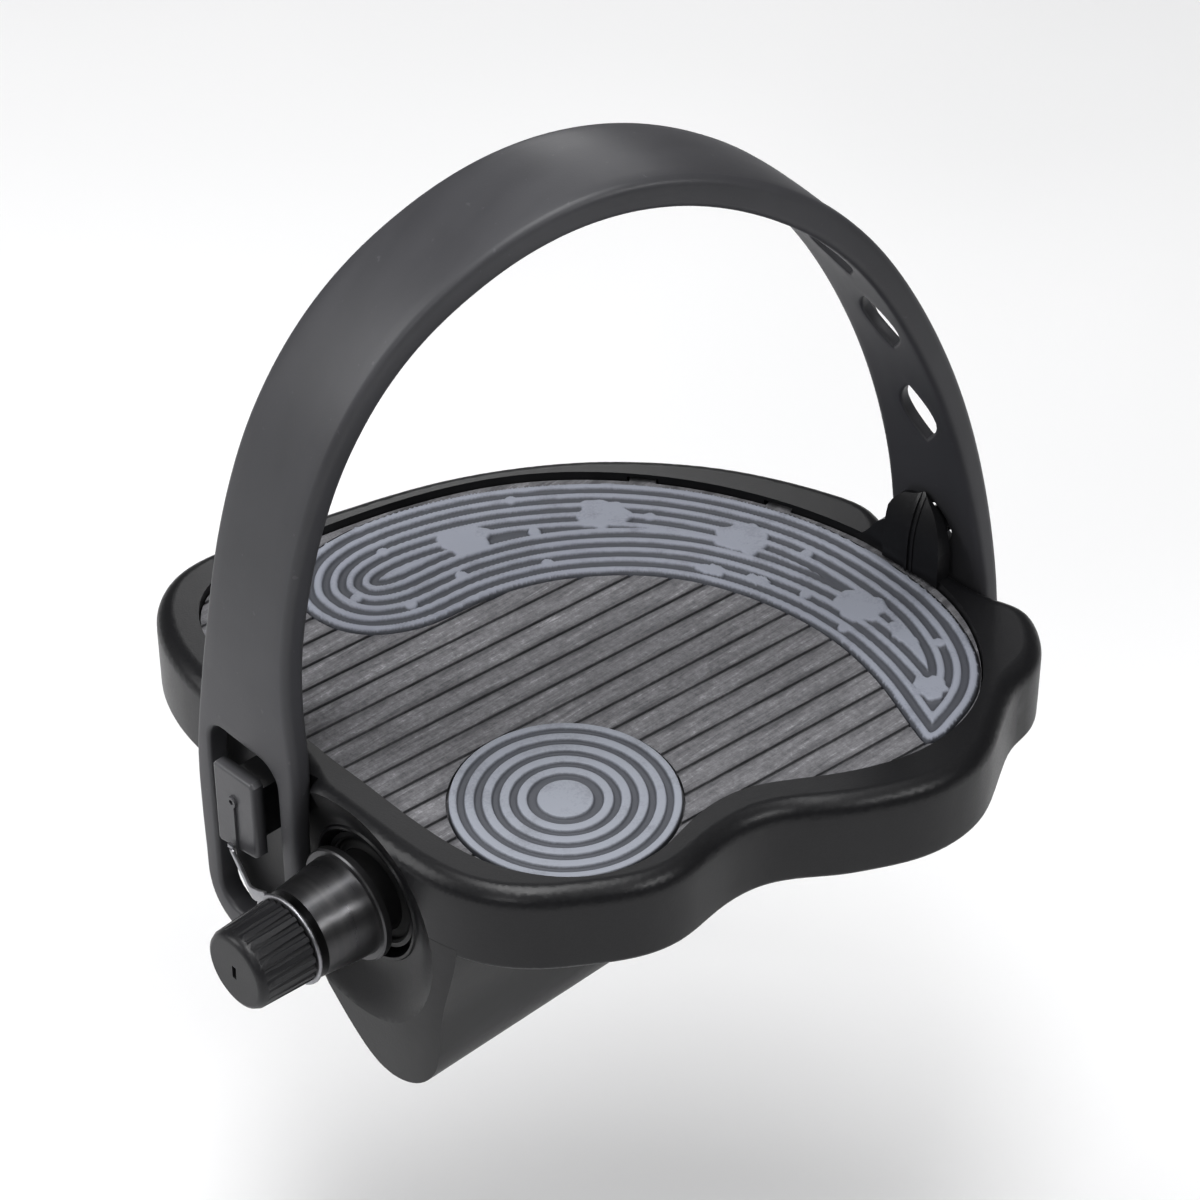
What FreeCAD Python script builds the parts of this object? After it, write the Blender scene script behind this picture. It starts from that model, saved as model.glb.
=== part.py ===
import FreeCAD, Part
import Sketcher
import math
import os

V = FreeCAD.Vector

# Pedal with a foot strap, one side of a pair.
# Frame: the origin is on the spindle axis at the collar's crank seat.
# +X runs along the spindle from the crank towards the outer edge of the
# platform, +Y points to the toes and +Z points up. Millimetres.

os.makedirs("parts", exist_ok=True)
doc = FreeCAD.newDocument("pedal")
sheet = doc.addObject("Spreadsheet::Sheet", "dims")

DIM = {}
ROW = [0]


def cell(alias, value, words):
    """One driving dimension: name, number and what it measures."""
    ROW[0] += 1
    r = ROW[0]
    sheet.set("A%d" % r, words)
    sheet.set("B%d" % r, repr(float(value)))
    sheet.setAlias("B%d" % r, alias)
    DIM[alias] = float(value)


cell("wall_base", 3.9, "underside of the tray above the spindle axis")
cell("rim_top", 20.9, "rim above the spindle axis")
cell("deck_top", 19.2, "tread surface above the spindle axis")
cell("plate_thick", 3.0, "tread plate thickness")
cell("floor_thick", 3.0, "floor of the tray")
cell("rim_round", 3.6, "round on the outer top edge of the rim")
cell("base_round", 1.2, "round on the outer bottom edge of the wall")
cell("end_face", 10.9, "crank end face from the seat")
cell("keel_length", 101.0, "length of the keel along the spindle")
cell("keel_hollow", 44.0, "length of the hollow in the keel")
cell("recess_radius", 12.4, "round recess in the crank end face")
cell("recess_floor", 16.2, "bottom of the recess from the seat")
cell("cup_bore", 10.4, "bearing cup bore in the axle tube")
cell("tube_radius", 12.0, "outside of the axle tube")
cell("tube_end", 98.0, "outer end of the axle tube")
cell("tube_bore", 8.5, "bore between the bearings")
cell("thread_radius", 6.35, "half inch spindle thread, major radius")
cell("thread_length", 11.0, "spindle thread length")
cell("seat_radius", 8.4, "collar at the crank seat")
cell("collar_radius", 9.6, "collar at the flange")
cell("collar_length", 10.3, "collar from seat to flange")
cell("flange_radius", 10.9, "dust flange")
cell("flange_thick", 1.5, "dust flange thickness")
cell("neck_radius", 7.9, "seal land on the spindle")
cell("socket_flats", 6.0, "hexagon socket across flats")
cell("shaft_radius", 5.36, "spindle shaft")
cell("stub_radius", 4.0, "outer thread of the spindle")
cell("ball_radius", 1.98, "bearing ball")
cell("inner_row_x", 21.5, "inner ball row from the seat")
cell("inner_row_r", 7.4, "inner ball row pitch radius")
cell("outer_row_x", 78.5, "outer ball row from the seat")
cell("outer_row_r", 7.0, "outer ball row pitch radius")
cell("race_radius", 2.04, "race groove")
cell("nut_flats", 13.0, "lock nut across flats")
cell("nut_thick", 5.0, "lock nut thickness")
cell("washer_thick", 1.2, "lock washer thickness")
cell("cap_length", 11.4, "thread cap length")
cell("cap_base", 8.0, "thread cap radius at its mouth")
cell("cap_nose", 7.55, "thread cap radius at its nose")
cell("cap_bore", 7.0, "thread cap bore")
cell("tag_thick", 0.8, "spindle tag sheet")
cell("tag_inner", 7.15, "spindle tag ring inside")
cell("tag_outer", 8.7, "spindle tag ring outside")
cell("pad_radius", 20.0, "ball pad radius")
cell("pad_seat", 1.2, "depth of the pad seats in the tread plate")
cell("pad_height", 1.9, "pad thickness at its ridges")
cell("groove_pitch", 5.3, "tread groove spacing")
cell("groove_width", 0.7, "tread groove width")
cell("groove_depth", 0.55, "tread groove depth")
cell("strap_thick_end", 4.6, "strap thickness at its ends")
cell("strap_thick_top", 6.0, "strap thickness over the arch")
cell("slack", 0.25, "gap around dropped-in pieces")
doc.recompute()


def dim(alias):
    return float(sheet.get(alias))


# ------------------------------------------------------------------ helpers

def body_of(label):
    b = doc.addObject("PartDesign::Body", label)
    b.Label = label
    return b


def plane(body, role):
    return [f for f in body.Origin.OriginFeatures if f.Role == role][0]


def sketch_on(body, name, role, offset=0.0):
    s = body.newObject("Sketcher::SketchObject", name)
    s.AttachmentSupport = [(plane(body, role), "")]
    s.MapMode = "FlatFace"
    s.AttachmentOffset = FreeCAD.Placement(V(0, 0, offset), FreeCAD.Rotation())
    return s


def poly(s, pts):
    """Closed run of straight edges in a sketch; returns the first index."""
    n = len(pts)
    first = None
    for i in range(n):
        a, b = pts[i], pts[(i + 1) % n]
        g = s.addGeometry(Part.LineSegment(V(a[0], a[1], 0), V(b[0], b[1], 0)), False)
        first = g if first is None else first
    for i in range(n):
        s.addConstraint(Sketcher.Constraint("Coincident", first + i, 2, first + (i + 1) % n, 1))
    return first


def closed_spline(s, pts, k=10):
    """Smooth closed outline through pts, drawn as k runs that meet smoothly."""
    c = Part.BSplineCurve()
    c.interpolate([V(p[0], p[1], 0) for p in pts], PeriodicFlag=True)
    a, b = c.FirstParameter, c.LastParameter
    ids = []
    for i in range(k):
        d = c.copy()
        d.segment(a + (b - a) * i / k, a + (b - a) * (i + 1) / k)
        ids.append(s.addGeometry(d, False))
    for i in range(k):
        s.addConstraint(Sketcher.Constraint("Coincident", ids[i], 2, ids[(i + 1) % k], 1))
    return ids


def open_spline(s, pts):
    c = Part.BSplineCurve()
    c.interpolate([V(p[0], p[1], 0) for p in pts])
    return s.addGeometry(c, False)


def circle(s, x, y, r, expr=None):
    g = s.addGeometry(Part.Circle(V(x, y, 0), V(0, 0, 1), r), False)
    k = s.addConstraint(Sketcher.Constraint("Radius", g, r))
    if expr:
        s.setExpression("Constraints[%d]" % k, expr)
    return g


def pad(body, name, s, length, expr=None, reverse=False):
    doc.recompute()
    p = body.newObject("PartDesign::Pad", name)
    p.Profile = s
    p.Length = length
    if expr:
        p.setExpression("Length", expr)
    p.Reversed = reverse
    s.Visibility = False
    doc.recompute()
    return p


def pocket(body, name, s, length, expr=None, reverse=False):
    """Pocket whose direction is checked by the volume that it takes away."""
    doc.recompute()
    before = body.Shape.Volume
    p = body.newObject("PartDesign::Pocket", name)
    p.Profile = s
    p.Length = length
    if expr:
        p.setExpression("Length", expr)
    p.Reversed = reverse
    doc.recompute()
    if body.Shape.Volume > before - 1e-3:
        p.Reversed = not reverse
        doc.recompute()
    if body.Shape.Volume > before - 1e-3:
        raise ValueError("pocket %s takes nothing away" % name)
    return p


def turned(label, pts, bind=()):
    """A turned piece: an (x, r) outline revolved about the spindle axis."""
    b = body_of(label)
    s = sketch_on(b, label + "_profile", "XZ_Plane")
    first = poly(s, pts)
    for i, axis, expr in bind:
        kind = "DistanceX" if axis == "x" else "DistanceY"
        val = pts[i][0] if axis == "x" else pts[i][1]
        k = s.addConstraint(Sketcher.Constraint(kind, -1, 1, first + i, 1, val))
        s.setExpression("Constraints[%d]" % k, expr)
    doc.recompute()
    r = b.newObject("PartDesign::Revolution", label + "_turn")
    r.Profile = s
    r.ReferenceAxis = (s, ["H_Axis"])
    r.Angle = 360.0
    doc.recompute()
    return b


def arc_pts(cx, cy, r, a0, a1, n):
    out = []
    for i in range(n + 1):
        a = math.radians(a0 + (a1 - a0) * i / n)
        out.append((cx + r * math.cos(a), cy + r * math.sin(a)))
    return out


def tangents(pts):
    n = len(pts)
    out = []
    for i in range(n):
        a, b = pts[i - 1], pts[(i + 1) % n]
        dx, dy = b[0] - a[0], b[1] - a[1]
        k = math.hypot(dx, dy)
        out.append((dx / k, dy / k))
    return out


def inset(pts, d):
    """Outline moved inwards by d (the outlines run heel, outer edge, toe)."""
    return [(p[0] - t[1] * d, p[1] + t[0] * d) for p, t in zip(pts, tangents(pts))]


# -------------------------------------------------------------- plan outlines

# Outer wall of the platform, from the boss along the heel edge to the outer
# side, round the toe edge and back past the strap recess on the crank side.
OUTER = [
    (10.9, 2.0), (10.9, -7.0), (11.1, -15.0), (12.2, -23.5), (15.2, -31.0),
    (20.6, -37.6), (28.2, -43.2), (36.0, -47.6), (43.7, -49.3), (51.0, -48.6),
    (57.8, -48.2), (64.0, -49.4), (69.2, -52.2), (74.5, -56.0), (80.5, -59.4),
    (88.0, -62.7), (96.4, -64.0), (104.0, -62.8), (111.0, -59.4), (116.6, -56.2),
    (121.6, -54.0), (127.0, -52.9), (131.8, -50.4), (135.8, -46.2), (138.2, -40.8),
    (137.5, -36.4), (136.3, -32.4), (136.0, -26.0), (136.0, -18.5), (136.0, -12.6),
    (136.3, -9.0), (138.6, -4.9), (139.9, 0.0), (138.2, 8.2), (134.2, 18.0),
    (128.4, 28.4), (121.0, 37.8), (111.6, 46.9), (101.0, 54.4), (90.0, 60.2),
    (79.0, 64.3), (66.0, 67.8), (53.0, 71.0), (41.0, 73.3), (32.5, 73.0),
    (25.4, 69.4), (19.8, 62.6), (16.4, 54.6), (14.7, 46.6), (14.2, 38.0),
    (14.2, 28.5), (14.1, 19.5), (12.9, 13.4), (11.3, 9.0),
]
# Inner edge of the rim, around the tread plate.
INNER = [
    (18.7, 9.0), (18.6, -7.0), (19.0, -16.5), (20.6, -25.5), (24.6, -33.6),
    (30.6, -39.8), (37.6, -42.9), (44.6, -43.3), (51.4, -41.9), (58.4, -41.0),
    (65.4, -42.0), (71.6, -45.0), (77.8, -48.9), (84.8, -52.5), (91.0, -54.7),
    (97.6, -55.7), (104.6, -55.2), (111.6, -52.9), (118.2, -48.5), (123.8, -42.6),
    (128.2, -35.4), (131.0, -27.2), (132.2, -18.4), (132.2, -8.4), (130.8, 1.0),
    (127.6, 12.0), (122.3, 23.8), (114.6, 35.4), (105.2, 45.3), (93.4, 53.6),
    (81.0, 58.9), (68.2, 62.4), (56.0, 64.6), (44.8, 66.0), (35.4, 65.4),
    (28.8, 61.6), (24.4, 55.2), (21.6, 46.0), (19.9, 34.0), (19.1, 21.5),
]
# Toe pad, a curved pad with a round end under the big toe.
TOE_PAD = [
    (42.8, 47.2), (43.0, 43.2), (44.4, 39.0), (47.2, 35.2), (51.6, 32.1), (56.8, 30.2),
    (62.8, 29.4), (69.2, 28.8), (75.2, 27.3), (81.4, 24.8), (88.2, 20.5), (94.8, 14.6),
    (100.0, 7.6), (103.6, -0.2), (105.8, -8.2), (106.9, -16.5), (106.7, -25.0), (105.2, -33.2),
    (102.9, -40.5), (100.4, -46.8), (98.6, -51.6), (98.3, -53.5), (99.8, -54.3), (104.8, -53.8),
    (111.0, -52.0), (116.6, -49.0), (121.2, -44.6), (125.2, -38.0), (128.2, -30.0), (130.0, -19.0),
    (130.2, -7.4), (128.6, 4.2), (125.1, 14.8), (120.1, 24.8), (113.8, 33.9), (107.4, 40.8),
    (100.2, 46.7), (91.2, 52.6), (81.6, 57.1), (72.2, 60.0), (63.4, 61.4), (56.2, 61.0),
    (50.4, 58.9), (46.2, 55.4), (43.6, 51.2),
]
BALL_PAD = (42.0, -22.0)

# Keel section below the tray (y, z), from the heel side to the toe side.
KEEL = [
    (-26.4, 2.0), (-25.4, -5.0), (-23.4, -14.0), (-22.4, -23.0), (-21.0, -30.2),
    (-17.6, -34.8), (-12.6, -37.4), (-7.2, -37.6), (-1.6, -34.8), (5.0, -29.0),
    (12.0, -22.0), (18.6, -14.4), (24.0, -6.0), (27.0, 2.0),
]
KEEL_IN = [
    (-22.8, 3.4), (-21.6, -6.0), (-19.8, -14.6), (-18.8, -23.0), (-17.4, -28.6),
    (-14.4, -32.2), (-10.6, -33.8), (-7.2, -33.7), (-3.2, -31.4), (2.6, -26.2),
    (9.2, -19.6), (15.4, -12.4), (20.4, -4.4), (22.8, 3.4),
]

# Both keel sections are drawn from the underside of the tray.
KEEL = [(y, z + dim("wall_base")) for y, z in KEEL]
KEEL_IN = [(y, z + dim("wall_base")) for y, z in KEEL_IN]

# --------------------------------------------------------------- pedal body

body = body_of("pedal_body")
LIFT = dim("wall_base")
s = sketch_on(body, "wall_outline", "XY_Plane", LIFT)
s.setExpression("AttachmentOffset.Base.z", "dims.wall_base")
closed_spline(s, OUTER)
wall = pad(body, "wall_block", s, dim("rim_top") - LIFT, "dims.rim_top - dims.wall_base")


def rim_edges(shape, z):
    return ["Edge%d" % (i + 1) for i, e in enumerate(shape.Edges)
            if abs(e.BoundBox.ZMin - z) < 1e-6 and abs(e.BoundBox.ZMax - z) < 1e-6]


f = body.newObject("PartDesign::Fillet", "rim_round_over")
f.Base = (wall, rim_edges(wall.Shape, dim("rim_top")))
f.Radius = dim("rim_round")
f.setExpression("Radius", "dims.rim_round")
doc.recompute()
f2 = body.newObject("PartDesign::Fillet", "base_round_over")
f2.Base = (f, rim_edges(f.Shape, LIFT))
f2.Radius = dim("base_round")
f2.setExpression("Radius", "dims.base_round")
doc.recompute()

# Keel: a deep rounded trough under the spindle, its bow rising to the outer end.
s = sketch_on(body, "keel_section", "YZ_Plane", dim("end_face"))
s.setExpression("AttachmentOffset.Base.z", "dims.end_face")
g = open_spline(s, KEEL)
h = s.addGeometry(Part.LineSegment(V(KEEL[-1][0], KEEL[-1][1], 0), V(KEEL[0][0], KEEL[0][1], 0)), False)
s.addConstraint(Sketcher.Constraint("Coincident", g, 2, h, 1))
s.addConstraint(Sketcher.Constraint("Coincident", h, 2, g, 1))
pad(body, "keel", s, dim("keel_length"), "dims.keel_length")
s = sketch_on(body, "keel_bow", "XZ_Plane")
poly(s, [(x, z + LIFT) for x, z in ((66.0, -40.0), (120.0, -40.0), (120.0, -0.4), (108.0, -0.4), (100.0, -9.0), (84.0, -28.0))])
p = pocket(body, "keel_bow_cut", s, 90.0)
p.Midplane = True
doc.recompute()

# The crank end of the keel follows the wall above it.
s = sketch_on(body, "keel_end", "XY_Plane", 6.4)
END = [OUTER[i] for i in (5, 4, 3, 2, 1, 0, 53, 52, 51)]
END = [(x - 0.03, y) for x, y in END]
g = open_spline(s, END)
run = [END[-1], (2.0, END[-1][1]), (2.0, END[0][1]), END[0]]
last = g
for a, b in zip(run[:-1], run[1:]):
    h = s.addGeometry(Part.LineSegment(V(a[0], a[1], 0), V(b[0], b[1], 0)), False)
    s.addConstraint(Sketcher.Constraint("Coincident", last, 2, h, 1))
    last = h
s.addConstraint(Sketcher.Constraint("Coincident", last, 2, g, 1))
pocket(body, "keel_end_cut", s, 60.0)

# The strap recess runs down past the keel on the crank side.
s = sketch_on(body, "strap_recess", "XY_Plane", 20.0)
poly(s, [(8.0, 10.6), (11.4, 10.6), (14.2, 14.0), (14.2, 46.0), (8.0, 46.0)])
pocket(body, "strap_recess_cut", s, 80.0)
s = sketch_on(body, "strap_seat", "YZ_Plane", 6.0)
poly(s, [(44.0, -28.0), (44.0, 40.0), (9.8, 40.0), (9.8, 22.5), (10.1, 18.0), (10.9, 13.0), (11.5, 8.0), (11.6, 0.0),
         (11.5, -8.0), (10.9, -13.5), (10.2, -18.8), (10.3, -21.5), (12.8, -25.0), (16.0, -28.0)])
pocket(body, "strap_seat_cut", s, 7.95, None, True)
# Guide lug behind the strap's window.
s = sketch_on(body, "strap_guide", "YZ_Plane", 14.5)
poly(s, [(12.8, 7.0), (37.6, 7.0), (37.6, -12.0), (36.6, -16.4), (33.6, -20.4), (29.0, -22.8), (24.0, -23.4), (18.6, -22.6), (14.8, -20.2), (12.8, -16.0)])
pad(body, "strap_guide_lug", s, 3.0)

# Seat of the tread plate, the tray below it, and the hollow of the keel.
s = sketch_on(body, "plate_seat", "XY_Plane", dim("rim_top"))
s.setExpression("AttachmentOffset.Base.z", "dims.rim_top")
closed_spline(s, INNER)
pocket(body, "plate_seat_cut", s, dim("rim_top") - dim("deck_top") + dim("plate_thick"),
       "dims.rim_top - dims.deck_top + dims.plate_thick")
s = sketch_on(body, "tray", "XY_Plane", dim("rim_top"))
s.setExpression("AttachmentOffset.Base.z", "dims.rim_top")
closed_spline(s, inset(INNER, 3.2))
pocket(body, "tray_cut", s, dim("rim_top") - LIFT - dim("floor_thick"), "dims.rim_top - dims.wall_base - dims.floor_thick")
s = sketch_on(body, "keel_hollow_section", "YZ_Plane", 22.5)
g = open_spline(s, KEEL_IN)
h = s.addGeometry(Part.LineSegment(V(KEEL_IN[-1][0], KEEL_IN[-1][1], 0), V(KEEL_IN[0][0], KEEL_IN[0][1], 0)), False)
s.addConstraint(Sketcher.Constraint("Coincident", g, 2, h, 1))
s.addConstraint(Sketcher.Constraint("Coincident", h, 2, g, 1))
pocket(body, "keel_hollow_cut", s, dim("keel_hollow"), "dims.keel_hollow", True)

# Snap windows for the tread plate in the inner wall of the rim.
SNAPS = [3, 10, 16, 25, 27, 32, 37]
TAN_IN = tangents(INNER)


def tab_box(i, half, out, back):
    p, t = INNER[i], TAN_IN[i]
    n = (t[1], -t[0])
    return [(p[0] + t[0] * u + n[0] * w, p[1] + t[1] * u + n[1] * w)
            for u, w in ((-half, -back), (half, -back), (half, out), (-half, out))]


s = sketch_on(body, "snap_windows", "XY_Plane", 16.2 + LIFT)
for i in SNAPS:
    poly(s, tab_box(i, 3.0, 1.7, 1.0))
pocket(body, "snap_windows_cut", s, 2.2)

# Axle tube through the tray, with webs to the floor.
s = sketch_on(body, "tube_section", "YZ_Plane", 14.0)
circle(s, 0, 0, dim("tube_radius"), "dims.tube_radius")
pad(body, "axle_tube", s, dim("tube_end") - 14.0, "dims.tube_end - 14")
s = sketch_on(body, "webs", "XY_Plane", LIFT + 0.5)
for x in (30.0, 52.0, 72.0, 90.0):
    poly(s, [(x, -34.0), (x + 2.4, -34.0), (x + 2.4, 36.0), (x, 36.0)])
pad(body, "tube_webs", s, 9.0)

# Recess in the crank end face, then the stepped bore for the bearings.
s = sketch_on(body, "bore_profile", "XZ_Plane")
x0, x1, x2, x3, x4 = 6.0, dim("recess_floor"), 25.6, 74.4, dim("tube_end") + 0.6
R, C, B = dim("recess_radius"), dim("cup_bore"), dim("tube_bore")
DISH = [(15.15, R + 0.9)]
for k in (0.1, 0.25, 0.4, 0.5, 0.6, 0.75, 0.9, 1.0):
    DISH.append((15.15 - 4.5 * k * k * (3 - 2 * k), R + 0.9 + 12.0 * k))
g = open_spline(s, DISH)
run = [DISH[-1], (x0, DISH[-1][1]), (x0, 0), (x4, 0), (x4, C), (x3, C), (x3, B), (x2, B), (x2, C), (x1, C), (x1, C + 0.8),
       (x1 + 3.2, C + 0.8), (x1 + 3.2, R), (15.2, R), (14.8, R + 0.15), (14.8, R + 0.65), DISH[0]]
last = g
for a, b in zip(run[:-1], run[1:]):
    h = s.addGeometry(Part.LineSegment(V(a[0], a[1], 0), V(b[0], b[1], 0)), False)
    s.addConstraint(Sketcher.Constraint("Coincident", last, 2, h, 1))
    last = h
s.addConstraint(Sketcher.Constraint("Coincident", last, 2, g, 1))
doc.recompute()
before = body.Shape.Volume
gr = body.newObject("PartDesign::Groove", "bore")
gr.Profile = s
gr.ReferenceAxis = (s, ["H_Axis"])
gr.Angle = 360.0
doc.recompute()
if body.Shape.Volume > before - 1.0:
    raise ValueError("the bore takes nothing away")

# Crank-side strap hook: a stem through the strap's window and a flat plate.
s = sketch_on(body, "hook_stem", "YZ_Plane", 7.6)
poly(s, [(y, z + LIFT) for y, z in ((20.2, -0.5), (27.8, -0.5), (27.8, 10.5), (20.2, 10.5))])
pad(body, "crank_hook_stem", s, 7.4)
s = sketch_on(body, "hook_plate", "YZ_Plane", 6.0)
poly(s, [(y, z + LIFT) for y, z in ((18.5, 13.0), (18.5, -2.6), (19.3, -3.4), (28.9, -5.2), (29.7, -4.6), (29.7, 12.4), (29.0, 13.2), (19.3, 13.8))])
plate_pad = pad(body, "crank_hook_plate", s, 2.4)
doc.recompute()
fp = body.newObject("PartDesign::Fillet", "hook_plate_round")
fp.Base = (plate_pad, ["Edge%d" % (i + 1) for i, e in enumerate(plate_pad.Shape.Edges)
                       if abs(e.BoundBox.XMin - 6.0) < 1e-4 and abs(e.BoundBox.XMax - 6.0) < 1e-4])
fp.Radius = 0.8
doc.recompute()
s = sketch_on(body, "hook_rib", "YZ_Plane", 5.5)
poly(s, [(23.65, -0.9), (24.95, -0.9), (24.95, 10.2)] + arc_pts(24.3, 10.9, 1.1, -50.0, 230.0, 14) + [(23.65, 10.2)])
circle(s, 24.3, 10.9, 0.5)
pad(body, "crank_hook_rib", s, 0.8)

# Outer strap hook: a tongue whose face rolls back to the strap, with a rib, a gusset and a catch.
def tongue_face(y0, y1, step, name):
    """The tongue's section, set forward by step, between two places along Y."""
    s = sketch_on(body, name, "XZ_Plane", -y0)
    g = open_spline(s, [(130.8 - step, 25.2), (131.0 - step, 27.9), (131.6 - step, 30.9), (132.6 - step, 33.7), (133.7 - step * 0.6, 36.0)])
    run = [(133.7 - step * 0.6, 36.0), (134.0, 36.4), (134.0, 19.8), (130.8 - step, 19.8), (130.8 - step, 25.2)]
    last = g
    for a, b in zip(run[:-1], run[1:]):
        h = s.addGeometry(Part.LineSegment(V(a[0], a[1], 0), V(b[0], b[1], 0)), False)
        s.addConstraint(Sketcher.Constraint("Coincident", last, 2, h, 1))
        last = h
    s.addConstraint(Sketcher.Constraint("Coincident", last, 2, g, 1))
    pad(body, name + "_solid", s, y0 - y1)


tongue_face(-11.8, -25.4, 0.0, "outer_hook_tongue")
tongue_face(-17.5, -18.1, 0.35, "outer_hook_rib")
tongue_face(-18.8, -19.2, 0.2, "outer_hook_line")
s = sketch_on(body, "gusset", "YZ_Plane", 131.7)
g = open_spline(s, [(-3.4, 19.8), (-5.6, 21.0), (-7.8, 23.6), (-9.6, 26.0), (-11.2, 27.3), (-13.0, 27.8)])
run = [(-13.0, 27.8), (-13.0, 19.4), (-3.4, 19.4), (-3.4, 19.8)]
last = g
for a, b in zip(run[:-1], run[1:]):
    h = s.addGeometry(Part.LineSegment(V(a[0], a[1], 0), V(b[0], b[1], 0)), False)
    s.addConstraint(Sketcher.Constraint("Coincident", last, 2, h, 1))
    last = h
s.addConstraint(Sketcher.Constraint("Coincident", last, 2, g, 1))
pad(body, "outer_hook_gusset", s, 2.2)
s = sketch_on(body, "tongue_top", "YZ_Plane", 128.0)
g = open_spline(s, [(-11.0, 28.0), (-11.8, 31.0), (-13.0, 33.3), (-14.8, 34.7), (-16.6, 35.3), (-17.8, 36.0), (-18.5, 36.3), (-19.6, 35.6),
                    (-21.5, 34.2), (-23.4, 32.2), (-24.7, 29.6), (-25.3, 26.8), (-26.2, 24.4)])
run = [(-26.2, 24.4), (-27.5, 24.4), (-27.5, 42.0), (-9.5, 42.0), (-9.5, 28.0), (-11.0, 28.0)]
last = g
for a, b in zip(run[:-1], run[1:]):
    h = s.addGeometry(Part.LineSegment(V(a[0], a[1], 0), V(b[0], b[1], 0)), False)
    s.addConstraint(Sketcher.Constraint("Coincident", last, 2, h, 1))
    last = h
s.addConstraint(Sketcher.Constraint("Coincident", last, 2, g, 1))
pocket(body, "tongue_top_cut", s, 7.0, None, True)
s = sketch_on(body, "catch", "YZ_Plane", 133.2)
catch = []
for sg in (1, -1):
    for k in range(12):
        u = sg * (-1 + 2 * k / 12.0)
        catch.append((-20.1 + sg * 2.7 * (1 - abs(u) ** 1.8), 25.7 + LIFT + 3.7 * u))
poly(s, catch)
pad(body, "outer_hook_catch", s, 6.6)
body.Tip = body.Group[-1]

# --------------------------------------------------------------- tread plate

plate = body_of("tread_plate")
z0 = dim("deck_top") - dim("plate_thick")
s = sketch_on(plate, "plate_outline", "XY_Plane", z0)
s.setExpression("AttachmentOffset.Base.z", "dims.deck_top - dims.plate_thick")
closed_spline(s, inset(INNER, dim("slack")))
pad(plate, "plate_sheet", s, dim("plate_thick"), "dims.plate_thick")
s = sketch_on(plate, "plate_tabs", "XY_Plane", 14.1 + LIFT)
for i in SNAPS:
    poly(s, tab_box(i, 2.5, 1.3, 1.5))
pad(plate, "snap_tabs", s, 1.1)
s = sketch_on(plate, "toe_seat", "XY_Plane", dim("deck_top"))
closed_spline(s, inset(TOE_PAD, -0.3))
pocket(plate, "toe_seat_cut", s, dim("pad_seat"), "dims.pad_seat")
s = sketch_on(plate, "ball_seat", "XY_Plane", dim("deck_top"))
circle(s, BALL_PAD[0], BALL_PAD[1], dim("pad_radius") + 0.45, "dims.pad_radius + 0.45")
pocket(plate, "ball_seat_cut", s, dim("pad_seat"), "dims.pad_seat")
# Straight tread grooves, a little aslant to the spindle.
s = sketch_on(plate, "grooves", "XY_Plane", dim("deck_top"))
gp, gw = dim("groove_pitch"), dim("groove_width")
slant = math.radians(-4.0)
for k in range(-10, 13):
    y = 1.2 + k * gp
    run = []
    us = []
    for p, q in zip(TOE_PAD, TOE_PAD[1:] + TOE_PAD[:1]):
        pu, pv = [(w[0] - 75.0) * math.cos(slant) + w[1] * math.sin(slant) for w in (p, q)], \
                 [w[1] * math.cos(slant) - (w[0] - 75.0) * math.sin(slant) for w in (p, q)]
        if (pv[0] - y) * (pv[1] - y) < 0:
            us.append(pu[0] + (pu[1] - pu[0]) * (y - pv[0]) / (pv[1] - pv[0]))
    stop = min(us) + 3.0 if us else 70.0
    for u, v in ((-70.0, y - gw / 2), (stop, y - gw / 2), (stop, y + gw / 2), (-70.0, y + gw / 2)):
        run.append((75.0 + u * math.cos(slant) - v * math.sin(slant), u * math.sin(slant) + v * math.cos(slant)))
    poly(s, run)
pocket(plate, "grooves_cut", s, dim("groove_depth"), "dims.groove_depth")
plate.Tip = plate.Group[-1]

# ---------------------------------------------------------------- foot pads

toe = body_of("toe_pad")
zs = dim("deck_top") - dim("pad_seat")
s = sketch_on(toe, "toe_outline", "XY_Plane", zs)
s.setExpression("AttachmentOffset.Base.z", "dims.deck_top - dims.pad_seat")
closed_spline(s, TOE_PAD)
pad(toe, "toe_sheet", s, dim("pad_height"), "dims.pad_height")

ball = body_of("ball_pad")
s = sketch_on(ball, "ring_profile", "XZ_Plane")
pr, low, top = dim("pad_radius"), zs, zs + dim("pad_height")
mid = zs + 1.15
prof = [(0.0, low), (pr, low), (pr, top - 0.3), (pr - 0.3, top)]
edges = [18.4, 17.2, 15.4, 14.2, 12.4, 11.2, 9.4, 8.2, 6.4, 5.2]
for i in range(0, len(edges), 2):
    prof += [(edges[i], top), (edges[i] - 0.15, mid), (edges[i + 1] + 0.15, mid), (edges[i + 1], top)]
prof += [(0.0, top)]
poly(s, prof)
doc.recompute()
r = ball.newObject("PartDesign::Revolution", "ring_turn")
r.Profile = s
r.ReferenceAxis = (s, ["V_Axis"])
r.Angle = 360.0
ball.Placement = FreeCAD.Placement(V(BALL_PAD[0], BALL_PAD[1], 0), FreeCAD.Rotation())
doc.recompute()

# ------------------------------------------------------------------- strap

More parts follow.
